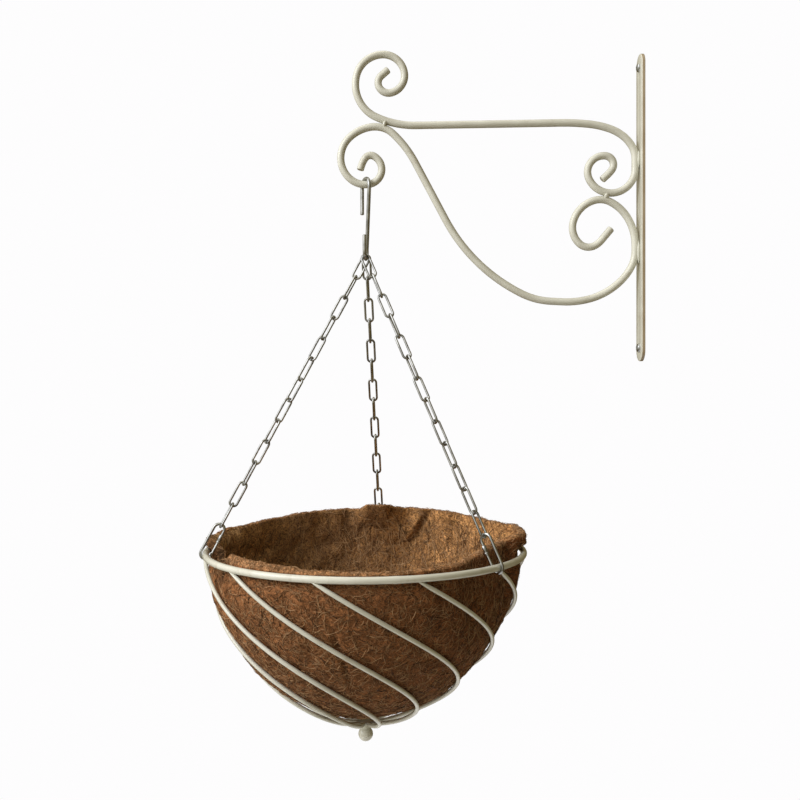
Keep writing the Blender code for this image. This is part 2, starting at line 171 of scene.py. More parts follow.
class Shader(Nodes):
    """The node tree of a new material."""

    def __init__(self, name):
        self.material = bpy.data.materials.new(name)
        self.material.use_nodes = True
        super().__init__(self.material.node_tree)
        self.surface = self.tree.nodes["Principled BSDF"]
        self.place = self.add("ShaderNodeTexCoord").outputs["Object"]

    def moved(self, scale, offset, turn):
        return self.add("ShaderNodeMapping", {"vector_type": "TEXTURE"}, Vector=self.place, Location=offset,
                        Rotation=turn, Scale=scale).outputs["Vector"]

    def noise(self, scale, detail=2.0, distortion=0.0, roughness=0.5, vector=None):
        return self.add("ShaderNodeTexNoise", Vector=vector or self.place, Scale=scale, Detail=detail,
                        Distortion=distortion, Roughness=roughness).outputs["Fac"]

    def maths(self, operation, one, two=0.0):
        made = self.add("ShaderNodeMath", {"operation": operation})
        self.give(made.inputs[0], one)
        self.give(made.inputs[1], two)
        return made.outputs[0]

    def mix(self, share, one, two, kind="MIX"):
        made = self.add("ShaderNodeMix", {"data_type": "RGBA", "blend_type": kind})
        self.give(made.inputs[0], share)
        self.give(made.inputs[6], one)
        self.give(made.inputs[7], two)
        return made.outputs[2]

    def bump(self, height, strength, distance):
        made = self.add("ShaderNodeBump", Height=height, Strength=strength, Distance=distance)
        self.give(self.surface.inputs["Normal"], made.outputs["Normal"])

    def set(self, **inputs):
        for key, value in inputs.items():
            self.give(self.surface.inputs[key.replace("_", " ")], value)


def cream_paint(name, low, high, rub):
    """Dipped cream paint: faint mottling, thin brownish rubs and a slight orange peel."""
    paint = Shader(name)
    tone = paint.ramp(paint.noise(38.0, 3.0), (0.32, low), (0.68, high))
    rubbed = paint.span(paint.noise(70.0, 6.0, distortion=0.6, roughness=0.60), (0.58, 0.76), (0.0, rub))
    tone = paint.mix(rubbed, tone, (0.33, 0.265, 0.165, 1.0))
    roughness = paint.span(paint.noise(120.0, 3.0), (0.3, 0.7), (0.27, 0.40))
    paint.set(Base_Color=tone, Roughness=roughness, Coat_Weight=0.9, Coat_Roughness=0.06)
    paint.bump(paint.noise(260.0, 2.0), strength=0.05, distance=0.0005)
    return paint.material


def zinc():
    """Bright zinc plate with dull patches."""
    plate = Shader("zinc")
    dull = plate.noise(90.0, 3.0, distortion=0.4)
    tone = plate.ramp(dull, (0.32, (0.31, 0.315, 0.32)), (0.66, (0.60, 0.615, 0.63)))
    plate.set(Base_Color=tone, Metallic=1.0, Roughness=plate.span(dull, (0.3, 0.7), (0.19, 0.08)))
    plate.bump(plate.noise(700.0, 2.0), strength=0.03, distance=0.0002)
    return plate.material


# Lines of the mat's texture: noise scale, half width as a share of the noise, and how bright they are.
COIR_LINES = ((310.0, 0.050, 0.055), (260.0, 0.045, 0.140), (340.0, 0.050, 0.190), (230.0, 0.034, 0.240),
              (400.0, 0.050, 0.280), (290.0, 0.030, 0.350))
# How bright the painted shade in its hollows is.
PAINTED_SHADE_RED = 0.012


def coir_mat(name, green, blue, gain, stretch, painted_side_light_stops, depth=1.0):
    """A felted mat: layers of thin curling lines, each paler than the last, over dark gaps.

    green and blue are shares of red, gain is how bright the mat is, stretch is how long the lines are for
    their width, the (x, colour) stops across the bowl paint light and shade on it from side to side, and
    depth darkens the gaps.
    """
    mat = Shader(name)

    def brown(red):
        return red * gain, red * gain * green, red * gain * blue

    grain = mat.noise(620.0, 3.0, distortion=0.5, roughness=0.65)
    tone = mat.ramp(grain, (0.34, brown(0.040 / depth)), (0.50, brown(0.105 / depth)), (0.68, brown(0.160)))
    height = grain
    for number, (scale, width, red) in enumerate(COIR_LINES):
        spot = mat.moved((1.0, 1.0, stretch), (0.31 * number, 0.17 * number, 0.23 * number),
                         (1.1 * number, 0.7 * number, 1.9 * number))
        curl = mat.noise(scale, 1.0, distortion=0.5, vector=spot)
        away = mat.maths("ABSOLUTE", mat.maths("SUBTRACT", curl, 0.5))
        line = mat.span(away, (width * 0.4, width), (0.85, 0.0))
        tone = mat.mix(line, tone, (*brown(red), 1.0))
        height = mat.maths("MAXIMUM", height, mat.maths("MULTIPLY", line, 0.55 + 0.09 * number))
    shade = mat.ramp(mat.noise(22.0, 3.0), (0.30, (0.78, 0.75, 0.72)), (0.70, (1.16, 1.15, 1.13)))
    clumps = mat.ramp(mat.noise(75.0, 3.0, distortion=0.4),
                      (0.34, (0.80, 0.78, 0.76)), (0.66, (1.14, 1.13, 1.12)))
    # Painted light and shade across the bowl: the mat is made lighter or darker by x, from the stops.
    across = mat.add("ShaderNodeSeparateXYZ", Vector=mat.place).outputs["X"]
    left, right = painted_side_light_stops[0][0], painted_side_light_stops[-1][0]
    painted_side_light = mat.ramp(mat.span(across, (left, right), (0.0, 1.0)),
                      *(((x - left) / (right - left), colour) for x, colour in painted_side_light_stops))
    for layer in (shade, clumps, painted_side_light):
        tone = mat.mix(1.0, tone, layer, "MULTIPLY")
    # Painted shade: the mat is darkened by a mesh attribute in its creases, a deep fold and part of its edge.
    painted_shade = mat.add("ShaderNodeAttribute", {"attribute_name": "painted_shade"}).outputs["Fac"]
    tone = mat.mix(painted_shade, tone, (*brown(PAINTED_SHADE_RED), 1.0))
    mat.set(Base_Color=tone, Roughness=mat.span(height, (0.2, 1.0), (0.98, 0.80)), Specular_IOR_Level=0.08)
    mat.bump(height, strength=0.7, distance=0.0008)
    return mat.material


def coir_fibre(name, dark, pale):
    """One shade of loose fibre, varied along its length."""
    fibre = Shader(name)
    tone = fibre.ramp(fibre.noise(120.0, 3.0), (0.30, dark), (0.70, pale))
    roughness = fibre.span(fibre.noise(300.0), (0.3, 0.7), (0.60, 0.85))
    fibre.set(Base_Color=tone, Roughness=roughness, Specular_IOR_Level=0.2)
    return fibre.material


def studio_floor():
    floor = Shader("pale_floor")
    tone = floor.ramp(floor.noise(2.0), (0.3, (0.80, 0.80, 0.80)), (0.7, (0.84, 0.84, 0.84)))
    floor.set(Base_Color=tone, Roughness=0.9)
    return floor.material


PAINT = cream_paint("cream_paint", (0.540, 0.527, 0.432), (0.62, 0.612, 0.515), rub=0.45)
# A browner paint, for the wall plate's side faces.
BROWN_EDGE = cream_paint("brown_edge", (0.27, 0.20, 0.115), (0.36, 0.285, 0.18), rub=0.8)
ZINC = zinc()
# The stops across the bowl are painted light and shade: the outside lighter on the left and darker on the
# right, the cut edge a little darker on the right, and the inside lightened throughout, most at its sides.
COIR = coir_mat("coir_outside", green=0.46, blue=0.190, gain=1.06, stretch=3.6, painted_side_light_stops=(
    (-0.42, (1.20, 1.16, 1.13)), (-0.32, (0.95, 0.91, 0.90)), (-0.15, (0.84, 0.74, 0.70))))
COIR_CUT = coir_mat("coir_cut_edge", green=0.52, blue=0.235, gain=1.75, stretch=2.6, painted_side_light_stops=(
    (-0.42, (1.0, 1.0, 1.0)), (-0.15, (0.95, 0.93, 0.90))))
COIR_INSIDE = coir_mat("coir_inside", green=0.53, blue=0.205, gain=1.00, stretch=5.0, painted_side_light_stops=(
    (-0.44, (2.05, 2.40, 3.00)), (-0.32, (1.27, 1.26, 1.28)), (-0.20, (2.22, 2.20, 2.18))), depth=1.5)


def piece(name, shape, material, body, *nodes, sharp=40, extra=(), chosen=None):
    """A mesh of the object that rides on a body and stands for nodes. chosen is each face's material."""
    verts, faces = shape
    mesh = bpy.data.meshes.new(name)
    points = [tuple(map(float, vert)) for vert in verts]
    mesh.from_pydata(points, [], [tuple(map(int, face)) for face in faces])
    mesh.validate()
    mesh.shade_smooth()
    mesh.set_sharp_from_angle(angle=math.radians(sharp))
    for finish in (material, *extra):
        mesh.materials.append(finish)
    if chosen is not None:
        mesh.polygons.foreach_set("material_index", chosen)
    obj = bpy.data.objects.new(name, mesh)
    bpy.context.scene.collection.objects.link(obj)
    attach(obj, body)
    if nodes:
        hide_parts(*nodes)
    return obj


def joined(shapes):
    """Several (verts, faces) as one."""
    verts, faces, start = [], [], 0
    for some_verts, some_faces in shapes:
        verts.append(some_verts)
        faces += [[start + index for index in face] for face in some_faces]
        start += len(some_verts)
    return np.concatenate(verts), faces


def placed(shape, matrix):
    verts, faces = shape
    rows = np.c_[verts, np.ones(len(verts))] @ np.array(matrix).T
    return rows[:, :3], faces


def unit(rows):
    return rows / np.linalg.norm(rows, axis=-1, keepdims=True)


def circle_turns(sides):
    return 2 * np.pi * np.arange(sides) / sides


def polar(radius, turn, height):
    """Points at these radii, turns in radians and heights."""
    return np.stack(np.broadcast_arrays(radius * np.cos(turn), radius * np.sin(turn), height), axis=-1)


def ring_faces(rings, sides, closed=False):
    """The faces between rings of points that follow each other."""
    faces = []
    for ring in range(rings if closed else rings - 1):
        low, high = ring * sides, (ring + 1) % rings * sides
        for turn in range(sides):
            after = (turn + 1) % sides
            faces.append((low + turn, low + after, high + after, high + turn))
    return faces


def inside_out(faces):
    return [(face[0], *face[:0:-1]) for face in faces]


def tipped(rings, low, high):
    """(verts, faces) of rings of points, closed by a point at each end."""
    count, sides = rings.shape[:2]
    faces = ring_faces(count, sides)
    tip = count * sides
    top = tip - sides
    for turn in range(sides):
        after = (turn + 1) % sides
        faces += [(tip, after, turn), (top + turn, top + after, tip + 1)]
    return np.concatenate([rings.reshape(-1, 3), [low, high]]), faces


def turned(profile, steps):
    """(verts, faces) turned round Z from (radius, height) points, the first and the last on the axis."""
    radii, heights = np.array(profile).T
    rings = polar(radii[1:-1, None], circle_turns(steps), heights[1:-1, None])
    verts, faces = tipped(rings, (0.0, 0.0, heights[0]), (0.0, 0.0, heights[-1]))
    return verts, inside_out(faces)


def carried_sides(along, side):
    """A side direction at each point, carried along the wire without twist."""
    sides = []
    for way in along:
        side = unit(side - way * np.dot(side, way))
        sides.append(side)
    return np.array(sides)


def tube(points, radius, sides, closed=False, side=(0.0, 1.0, 0.0), widths=None, chamfer=0.0):
    """(verts, faces) of a wire.

    side is where its first corner faces, at its start or at each point. widths scales it along that side and
    across it at each point.
    """
    points = np.asarray(points, float)
    if closed:
        along = unit(np.roll(points, -1, 0) - np.roll(points, 1, 0))
    else:
        along = unit(np.gradient(points, axis=0))
    side = np.asarray(side, float)
    if side.ndim == 1:
        one = carried_sides(along, side)
    else:
        one = unit(side - along * np.sum(side * along, axis=1, keepdims=True))
    if widths is None:
        widths = np.ones((len(points), 2))
    radii = np.full(len(points), float(radius))
    if chamfer:
        points = np.concatenate([points[:1], points[:1] + chamfer * along[:1], points[1:-1],
                                 points[-1:] - chamfer * along[-1:], points[-1:]])
        along, one, widths, radii = (np.concatenate([rows[:1], rows, rows[-1:]])
                                     for rows in (along, one, widths, radii))
        radii[[0, -1]] -= chamfer
    two = np.cross(along, one)
    turns = circle_turns(sides)[None, :, None]
    rings = points[:, None] + radii[:, None, None] * (np.cos(turns) * (one * widths[:, :1])[:, None]
                                                      + np.sin(turns) * (two * widths[:, 1:])[:, None])
    count = len(points)
    faces = ring_faces(count, sides, closed)
    if not closed:
        faces += [range(sides)[::-1], range((count - 1) * sides, count * sides)]
    return rings.reshape(-1, 3), faces


def heading_vector(heading):
    angle = math.radians(heading)
    return Vector((math.cos(angle), math.sin(angle)))


def left_of(heading):
    return heading_vector(heading + 90)


def follow(start, heading, route):
    """The points of a route after its start, in the plane, and the heading at its end."""
    points = []
    here = start
    for size, turn in route:
        if turn == 0:
            here = here + size * heading_vector(heading)
            points.append(here)
            continue
        side = math.copysign(size, turn)
        centre = here + side * left_of(heading)
        steps = max(2, round(abs(turn) / math.degrees(2 * math.acos(1 - BEND_SAG / size))))
        for step in range(1, steps + 1):
            points.append(centre - side * left_of(heading + turn * step / steps))
        heading += turn
        here = points[-1]
    return points, heading


def arc(centre, radius, start, end, steps):
    turns = [start + (end - start) * step / steps for step in range(steps + 1)]
    return [centre + radius * heading_vector(turn) for turn in turns]


def in_wall_plane(points):
    return np.array([(x, 0.0, z) for x, z in points])


def spaced(points, spacing):
    """Points along a line at about this spacing."""
    points = np.asarray(points, float)
    steps = np.linalg.norm(np.diff(points, axis=0), axis=1)
    length = np.concatenate([[0.0], np.cumsum(steps)])
    marks = np.linspace(0.0, length[-1], max(2, int(length[-1] / spacing)))
    return np.stack([np.interp(marks, length, row) for row in points.T], axis=1)


def upper_rod_route():
    contact = Vector((-(PLATE_THICK + GAP + ROD / 2), UPPER_WELD_Z))
    arm, heading = follow(contact, 90, ARM_ROUTE)
    scroll, _ = follow(arm[-1], heading, UPPER_SCROLL)
    curl, _ = follow(contact, -90, UPPER_CURL)
    return [*reversed(scroll), *reversed(arm), contact, *curl], curl, arm[-1], heading


def rise_to_touch(upper, lower):
    """How far up the lower points go until the two rods touch, but for the gap, and where that is."""
    high, low = spaced(upper, TOUCH_SPACING), spaced(lower, TOUCH_SPACING)
    across = np.abs(high[:, None, 0] - low[None, :, 0])
    reach = np.sqrt(np.maximum(0.0, (ROD + GAP) ** 2 - across**2))
    rises = np.where(across < ROD + GAP, high[:, None, 1] - low[None, :, 1] - reach, np.inf)
    spot = np.unravel_index(np.argmin(rises), rises.shape)
    rise = float(rises[spot])
    return rise, Vector((high[spot[0]] + low[spot[1]] + (0.0, rise)) / 2)


def lower_rod_route(upper_curl, weld, heading):
    join = weld + (ROD + GAP) * left_of(heading)
    scroll, here = follow(join, heading, LOWER_SCROLL)
    bottom, here = follow(scroll[-1], here, ((SEAT_RADIUS, 360 - here),))
    tail, _ = follow(bottom[-1], here, LOWER_SCROLL_END)
    contact = Vector((-(PLATE_THICK + GAP + ROD / 2), 0.0))
    curl, _ = follow(contact, 90, LOWER_CURL)
    rise, touch = rise_to_touch(upper_curl, curl)
    contact = contact + Vector((0.0, rise))
    curl = [point + Vector((0.0, rise)) for point in curl]

    # The brace's two straights are as long as it takes to end at the wall.
    down = heading - 180
    top, slope = follow(join, down, BRACE_TOP)
    foot, level = follow(top[-1], slope, BRACE_FOOT)
    to_wall, steep = follow(foot[-1], level, BRACE_RISE)
    wall_bend = (BRACE_WALL_BEND, 90 - steep)
    up, _ = follow(to_wall[-1], steep, (wall_bend,))
    missing = contact - up[-1]
    along, across = heading_vector(slope), heading_vector(level)
    area = along.cross(across)
    upper, lower = missing.cross(across) / area, along.cross(missing) / area
    brace, _ = follow(join, down, (*BRACE_TOP, (upper, 0), *BRACE_FOOT, (lower, 0), *BRACE_RISE, wall_bend))
    return [*reversed(tail), *reversed(scroll + bottom), join, *brace, *curl], bottom[-1], touch, contact


def bead(middle, along, length, width, height, seed, rings=14, sides=18):
    """A weld bead: a drop-shaped lump with an uneven skin, laid along a direction."""
    blunt, unevenness, grain = 0.7, 0.10, 260
    along = Vector(along).normalized()
    out = along.orthogonal().normalized()
    over = along.cross(out)
    verts = []
    for ring in range(1, rings):
        share = ring / rings
        swell = math.sin(math.pi * share) ** blunt
        for turn in range(sides):
            angle = 2 * math.pi * turn / sides
            point = (middle + along * length * (share - 0.5) + swell * (out * width / 2 * math.cos(angle)
                     + over * height / 2 * math.sin(angle)))
            uneven = 1 + unevenness * noise.noise(point * grain + Vector((seed, 0, 0)))
            verts.append(tuple(middle + (point - middle) * uneven))
    half = along * length / 2
    return tipped(np.array(verts).reshape(rings - 1, sides, 3), middle - half, middle + half)


def make_plate():
    """The wall plate with eased front edges and two holes."""
    shape = bmesh.new()
    half = (PLATE_LENGTH - PLATE_WIDTH) / 2
    outline = arc(Vector((0.0, half)), PLATE_WIDTH / 2, 0, 180, PLATE_END_STEPS)
    outline += arc(Vector((0.0, -half)), PLATE_WIDTH / 2, 180, 360, PLATE_END_STEPS)
    last = 360 - 360 / HOLE_STEPS
    holes = [arc(Vector((0.0, z)), SCREW_HOLE / 2, 0, last, HOLE_STEPS - 1) for z in (SCREW_Z, -SCREW_Z)]
    edges = []
    for loop in (outline, *holes):
        verts = [shape.verts.new((0.0, y, z)) for y, z in loop]
        edges += [shape.edges.new(pair) for pair in zip(verts, verts[1:] + verts[:1])]
    bmesh.ops.triangle_fill(shape, edges=edges, use_beauty=True)
    moved = bmesh.ops.extrude_face_region(shape, geom=list(shape.faces))
    front = [item for item in moved["geom"] if isinstance(item, bmesh.types.BMVert)]
    bmesh.ops.translate(shape, verts=front, vec=(-PLATE_THICK, 0.0, 0.0))
    bmesh.ops.recalc_face_normals(shape, faces=shape.faces)
    lip = [edge for edge in shape.edges
           if all(vert.co.x < -PLATE_THICK / 2 for vert in edge.verts) and edge.calc_face_angle(0.0) > 1.0]
    bmesh.ops.bevel(shape, geom=lip, offset=PLATE_EASING, segments=3, profile=0.5, affect="EDGES")
    bmesh.ops.triangulate(shape, faces=[face for face in shape.faces if len(face.verts) > 4])
    shape.verts.index_update()
    shape.normal_update()
    verts = [tuple(vert.co) for vert in shape.verts]
    faces = [[vert.index for vert in face.verts] for face in shape.faces]
    # Its side faces get the browner paint, its front and back the cream.
    brown_sides = [int(abs(face.normal.x) < 0.6) for face in shape.faces]
    shape.free()
    piece("wall_plate_bar", (verts, faces), PAINT, "bracket", "wall_plate", sharp=30, extra=(BROWN_EDGE,),
          chosen=brown_sides)


def make_screw(name, z):
    """A round-headed screw with a cross recess, its shank in the plate's hole."""
    head, rise, brim = 0.0048, 0.0030, 0.0004
    play, setback = 0.0006, 0.0002
    slot_width, slot_length, slot_depth = 0.0011, 0.0052, 0.0012
    shank, end = SCREW_HOLE / 2 - play, setback - PLATE_THICK
    profile = [(0.0, end), (shank, end), (shank, 0.0), (0.96 * head, 0.0), (head, brim)]
    for step in range(1, HEAD_STEPS):
        angle = math.pi / 2 * step / HEAD_STEPS
        profile.append((head * math.cos(angle), brim + rise * math.sin(angle)))
    profile.append((0.0, brim + rise))
    verts, faces = turned(profile, SCREW_STEPS)
    thin, wide = np.sort(np.abs(verts[:, :2]), axis=1).T
    recess = (verts[:, 2] > brim) & (thin < slot_width / 2) & (wide < slot_length / 2)
    verts[recess, 2] -= slot_depth
    verts = np.stack([-PLATE_THICK - verts[:, 2], verts[:, 1], z + verts[:, 0]], axis=1)
    piece(name, (verts, [face[::-1] for face in faces]), ZINC, "bracket", sharp=35)


def make_bracket():
    make_plate()
    make_screw("wall_screw_upper", SCREW_Z)
    make_screw("wall_screw_lower", -SCREW_Z)
    upper, upper_curl, weld, heading = upper_rod_route()
    lower, seat, touch, contact = lower_rod_route(upper_curl, weld, heading)
    for name, route in (("upper", upper), ("lower", lower)):
        rod = tube(in_wall_plane(route), ROD / 2, ROD_SIDES, chamfer=ROD_CHAMFER)
        piece(f"{name}_rod", rod, PAINT, "bracket", f"{name}_scroll_rod")

    # Each bead: place in the wall plane, direction along it, length, width, and distance from the plane.
    between = weld + (ROD + GAP) / 2 * left_of(heading)
    up = Vector((0.0, 1.0))
    beside_plate = -PLATE_THICK - 0.0012
    beads = []
    for number, (spot, along, length, width, depth) in enumerate((
            (between, left_of(heading), 0.0072, 0.0048, 0.0034),
            (touch, Vector((0.5, 1.0)), 0.0070, 0.0060, 0.0030),
            (Vector((beside_plate, UPPER_WELD_Z - 0.001)), up, 0.0200, 0.0040, 0.0026),
            (Vector((beside_plate, contact.y - 0.002)), up, 0.0260, 0.0044, 0.0026))):
        for side in (-1, 1):
            middle = Vector((spot.x, side * depth, spot.y))
            beads.append(bead(middle, (along.x, 0.0, along.y), length, width, height=0.8 * width,
                              seed=number + 10 * side))
    piece("bracket_welds", joined(beads), PAINT, "bracket", sharp=80)
    return Vector((seat.x, 0.0, seat.y))


def hook_forward(turn):
    angle = math.radians(turn)
    return Vector((math.sin(angle), -math.cos(angle), 0.0))


def hook_middles(seat):
    """Heights of the middles of the hook's two bends."""
    top = seat.z + ROD / 2 + GAP + HOOK_WIRE / 2 - HOOK_BEND
    return top, top + 2 * HOOK_BEND + HOOK_WIRE - HOOK_LENGTH


def make_hook(seat):
    top, low = hook_middles(seat)
    lean = math.degrees(math.asin(2 * HOOK_BEND / (top - low)))
    upper, lower = Vector((0.0, top)), Vector((0.0, low))
    top_bend = [upper - Vector((HOOK_BEND, HOOK_TOP_LEG)), upper - Vector((HOOK_BEND, HOOK_TOP_LEG / 2)),
                *arc(upper, HOOK_BEND, 180, -lean, HOOK_BEND_STEPS)]
    lower_bend = [*arc(lower, HOOK_BEND, 180 - lean, 360, HOOK_BEND_STEPS),
                  lower + Vector((HOOK_BEND, HOOK_LOWER_LEG / 2)),
                  lower + Vector((HOOK_BEND, HOOK_LOWER_LEG))]
    ends = []
    for bend, turn in ((top_bend, HOOK_TOP_TURN), (lower_bend, HOOK_LOWER_TURN)):
        ends.append([Vector((seat.x, 0.0, height)) + across * hook_forward(turn) for across, height in bend])
    shank = [ends[0][-1].lerp(ends[1][0], step / SHANK_STEPS) for step in range(1, SHANK_STEPS)]
    points = [tuple(point) for point in (*ends[0], *shank, *ends[1])]
    wire = tube(points, HOOK_WIRE / 2, HOOK_SIDES, side=(1.0, 0.0, 0.0), chamfer=HOOK_CHAMFER)
    piece("s_hook_wire", wire, ZINC, "hook", "s_hook")


def azimuth_vector(azimuth):
    return heading_vector(azimuth).to_3d()


def rib_azimuth(rib):
    return FIRST_RIB + 360 / RIB_COUNT * rib


def chain_azimuth(chain):
    rib, distance = CHAIN_SEATS[chain]
    return rib_azimuth(rib) - math.degrees(distance / RIM_RADIUS)


def hook_seat(chain, seat):
    """Where a chain hangs on the hook's wire, and the way that the wire runs there."""
    angle = math.radians(HOOK_SEATS[chain])
    back = -hook_forward(HOOK_LOWER_TURN)
    up = Vector((0.0, 0.0, 1.0))
    middle = Vector((seat.x, 0.0, hook_middles(seat)[1]))
    wire = middle + HOOK_BEND * (math.sin(angle) * back - math.cos(angle) * up)
    return wire, math.cos(angle) * back + math.sin(angle) * up


def chain_reach():
    return LINKS * LINK_LENGTH + CONNECTOR_LENGTH - RIM_ROD / 2 - HOOK_WIRE / 2


def rim_middle(seat):
    wire, _ = hook_seat("left", seat)
    level = Vector((seat.x, 0.0, wire.z)) + RIM_RADIUS * azimuth_vector(chain_azimuth("left")) - wire
    reach = chain_reach() - (LINKS + 2) * GAP
    return Vector((seat.x, 0.0, wire.z - math.sqrt(reach**2 - level.length_squared)))


# A connector's wire is drawn this much thicker on each side than the solid's. The outline of its crimped
# sleeve goes round two barrels and back inside the wire: how far below the sleeve's top, and how far out from
# the wire's skin.
CONNECTOR_SWELL = 0.0002
SLEEVE_TOP = 0.0085
SLEEVE = ((0.0, 0.0), (0.0, 0.0006), (0.0003, 0.0008), (0.0062, 0.0008), (0.0065, 0.0006),
          (0.0065, 0.0001), (0.0072, 0.0001), (0.0072, 0.0006), (0.0075, 0.0008), (0.0086, 0.0008),
          (0.0089, 0.0006), (0.0089, 0.0), (0.0089, -0.0003), (0.0, -0.0003))
LINK_SEAM = 0.00022
CONNECTOR_SEAM = 0.0002


def butted_loop(length, width, wire, gap):
    """A link bent from straight wire: it starts and ends halfway down one side, a hair apart."""
    radius = (width + wire) / 2
    middle = -length / 2
    upper = arc(Vector((0.0, -width / 2)), radius, 0, 180, LINK_BEND_STEPS)
    lower = arc(Vector((0.0, width / 2 - length)), radius, 180, 360, LINK_BEND_STEPS)
    start, end = Vector((radius, middle + gap / 2)), Vector((radius, middle - gap / 2))
    return in_wall_plane([start, *upper, *lower, end])


def connector_shape():
    """A connector with a crimped sleeve over the joint in one side."""
    width = RIM_ROD + 2 * CONNECTOR_SIDE_PLAY
    wire = CONNECTOR_WIRE / 2 + CONNECTOR_SWELL
    loop = tube(butted_loop(CONNECTOR_LENGTH, width, CONNECTOR_WIRE, CONNECTOR_SEAM), wire, CONNECTOR_SIDES)
    drops, walls = np.array(SLEEVE).T
    sleeve = polar(wire + walls[:, None], circle_turns(SLEEVE_SIDES), -SLEEVE_TOP - drops[:, None])
    sleeve = sleeve + ((width + CONNECTOR_WIRE) / 2, 0.0, 0.0)
    faces = inside_out(ring_faces(len(SLEEVE), SLEEVE_SIDES, closed=True))
    return joined((loop, (sleeve.reshape(-1, 3), faces)))


def make_chain(chain, link, connector, seat, rim):
    """Links from the hook to the rim, each turned on from the last by the same angle, and a connector."""
    wire, wire_way = hook_seat(chain, seat)
    azimuth = chain_azimuth(chain)
    end = rim + RIM_RADIUS * azimuth_vector(azimuth)
    down = (end - wire).normalized()
    gap = (chain_reach() - (end - wire).length) / (LINKS + 2)
    sideways = azimuth_vector(azimuth + 90)
    outward = down.cross(sideways).normalized()
    first_width = wire_way.cross(down)
    first_turn = math.degrees(math.atan2(first_width.dot(sideways), first_width.dot(outward)))
    half_turns = round((first_turn + 90 * LINKS) / 180)
    step = (180 * half_turns - first_turn) / LINKS
    for index in range(LINKS + 1):
        turn = heading_vector(first_turn + step * index)
        if index == LINKS and turn.x > 0:
            turn = -turn
        width = turn.x * outward + turn.y * sideways
        axes = Matrix((width, width.cross(down), -down)).transposed().to_4x4()
        top = wire + (index * (LINK_LENGTH - gap) - HOOK_WIRE / 2 - gap) * down
        placing = Matrix.Translation(top) @ axes
        if index < LINKS:
            number = f"{index + 1:02d}"
            node = f"{chain}_chain_link_{number}"
            piece(f"{chain}_link_{number}", placed(link, placing), ZINC, "basket", node)
        else:
            piece(f"{chain}_connector", placed(connector, placing), ZINC, "basket", f"{chain}_rim_connector")


def bowl_profile(share):
    angle = share * math.pi / 2
    return RIM_RADIUS * math.cos(angle) ** BOWL_SIDE_POWER, BOWL_DEPTH * math.sin(angle) ** BOWL_FLOOR_POWER


def share_at_drop(drop):
    return math.asin((drop / BOWL_DEPTH) ** (1 / BOWL_FLOOR_POWER)) * 2 / math.pi


def share_at_radius(radius):
    return math.acos((radius / RIM_RADIUS) ** (1 / BOWL_SIDE_POWER)) * 2 / math.pi


def rib_end_radius():
    return RIB_COUNT * (RIB_WIRE + RIB_END_GAP) / (2 * math.pi)


def bowl_slope(share):
    """The profile's direction, downwards, as (outwards, down)."""
    near, far = np.array(bowl_profile(max(0.0, share - 1e-3))), np.array(bowl_profile(min(1.0, share + 1e-3)))
    return unit(far - near)


# The swirl is measured from where the part's ribs start. Here they go on up to a smaller drop, under the rim.
RIB_START = share_at_drop(RIM_ROD / 2 + GAP + RIB_LEAD)
RIB_TIP_DROP = 0.0024


def swirl_at(share):
    return sum(rate * (share ** (power + 1) - RIB_START ** (power + 1)) for power, rate in enumerate(SWIRL))


def make_ribs(rim):
    """The ribs, pressed flat where they run up under the rim."""
    start, end = share_at_drop(RIB_TIP_DROP), share_at_radius(rib_end_radius())
    line, outwards = [], []
    for step in range(RIB_STEPS + 1):
        share = start + (end - start) * step / RIB_STEPS
        radius, drop = bowl_profile(share)
        way = azimuth_vector(swirl_at(share))
        line.append(tuple(radius * way - Vector((0.0, 0.0, drop))))
        slope = bowl_slope(share)
        outwards.append((slope[1] * way.x, slope[1] * way.y, slope[0]))
    line = np.array(line)
    length = np.concatenate([[0.0], np.cumsum(np.linalg.norm(np.diff(line, axis=0), axis=1))])
    press_length, easing = 0.017, 1.5
    press = np.clip(1 - length / press_length, 0.0, 1.0) ** easing
    wider, flatter = 0.10 * press, 0.60 * press
    widths = np.stack([1 + wider, 1 - flatter], axis=1)
    rib = tube(line, RIB_WIRE / 2, RIB_SIDES, side=outwards, widths=widths, chamfer=RIB_CHAMFER)
    for index in range(RIB_COUNT):
        turn = Matrix.Rotation(math.radians(rib_azimuth(index)), 4, "Z")
        number = f"{index + 1:02d}"
        shape = placed(rib, Matrix.Translation(rim) @ turn)
        piece(f"rib_wire_{number}", shape, PAINT, "basket", f"rib_{number}")


def make_rim(rim):
    """The ring, with a slight swelling where its ends are butt-welded, and a bead at each rib."""
    turns = circle_turns(RIM_STEPS)
    weld, reach, most = math.radians(281.0), 0.0035, 0.07
    away = np.abs((turns - weld + np.pi) % (2 * np.pi) - np.pi) * RIM_RADIUS
    swell = 1 + most * np.exp(-((away / reach) ** 2))
    ring = tube(polar(RIM_RADIUS, turns, 0.0) + np.array(rim), RIM_ROD / 2, ROD_SIDES, closed=True,
                side=(0.0, 0.0, 1.0), widths=np.stack([swell, swell], axis=1))
    piece("rim_rod", ring, PAINT, "basket", "rim_ring")
    inside, under = RIM_RADIUS - 0.0022, Vector((0.0, 0.0, RIM_ROD / 2 - 0.0002))
    beads = []
    for index in range(RIB_COUNT):
        azimuth = rib_azimuth(index)
        spot = rim + inside * azimuth_vector(azimuth) - under
        beads.append(bead(spot, azimuth_vector(azimuth + 90), length=0.0064, width=0.0022, height=0.0020,
                          seed=index, rings=8, sides=10))
    piece("rib_welds", joined(beads), PAINT, "basket", sharp=80)


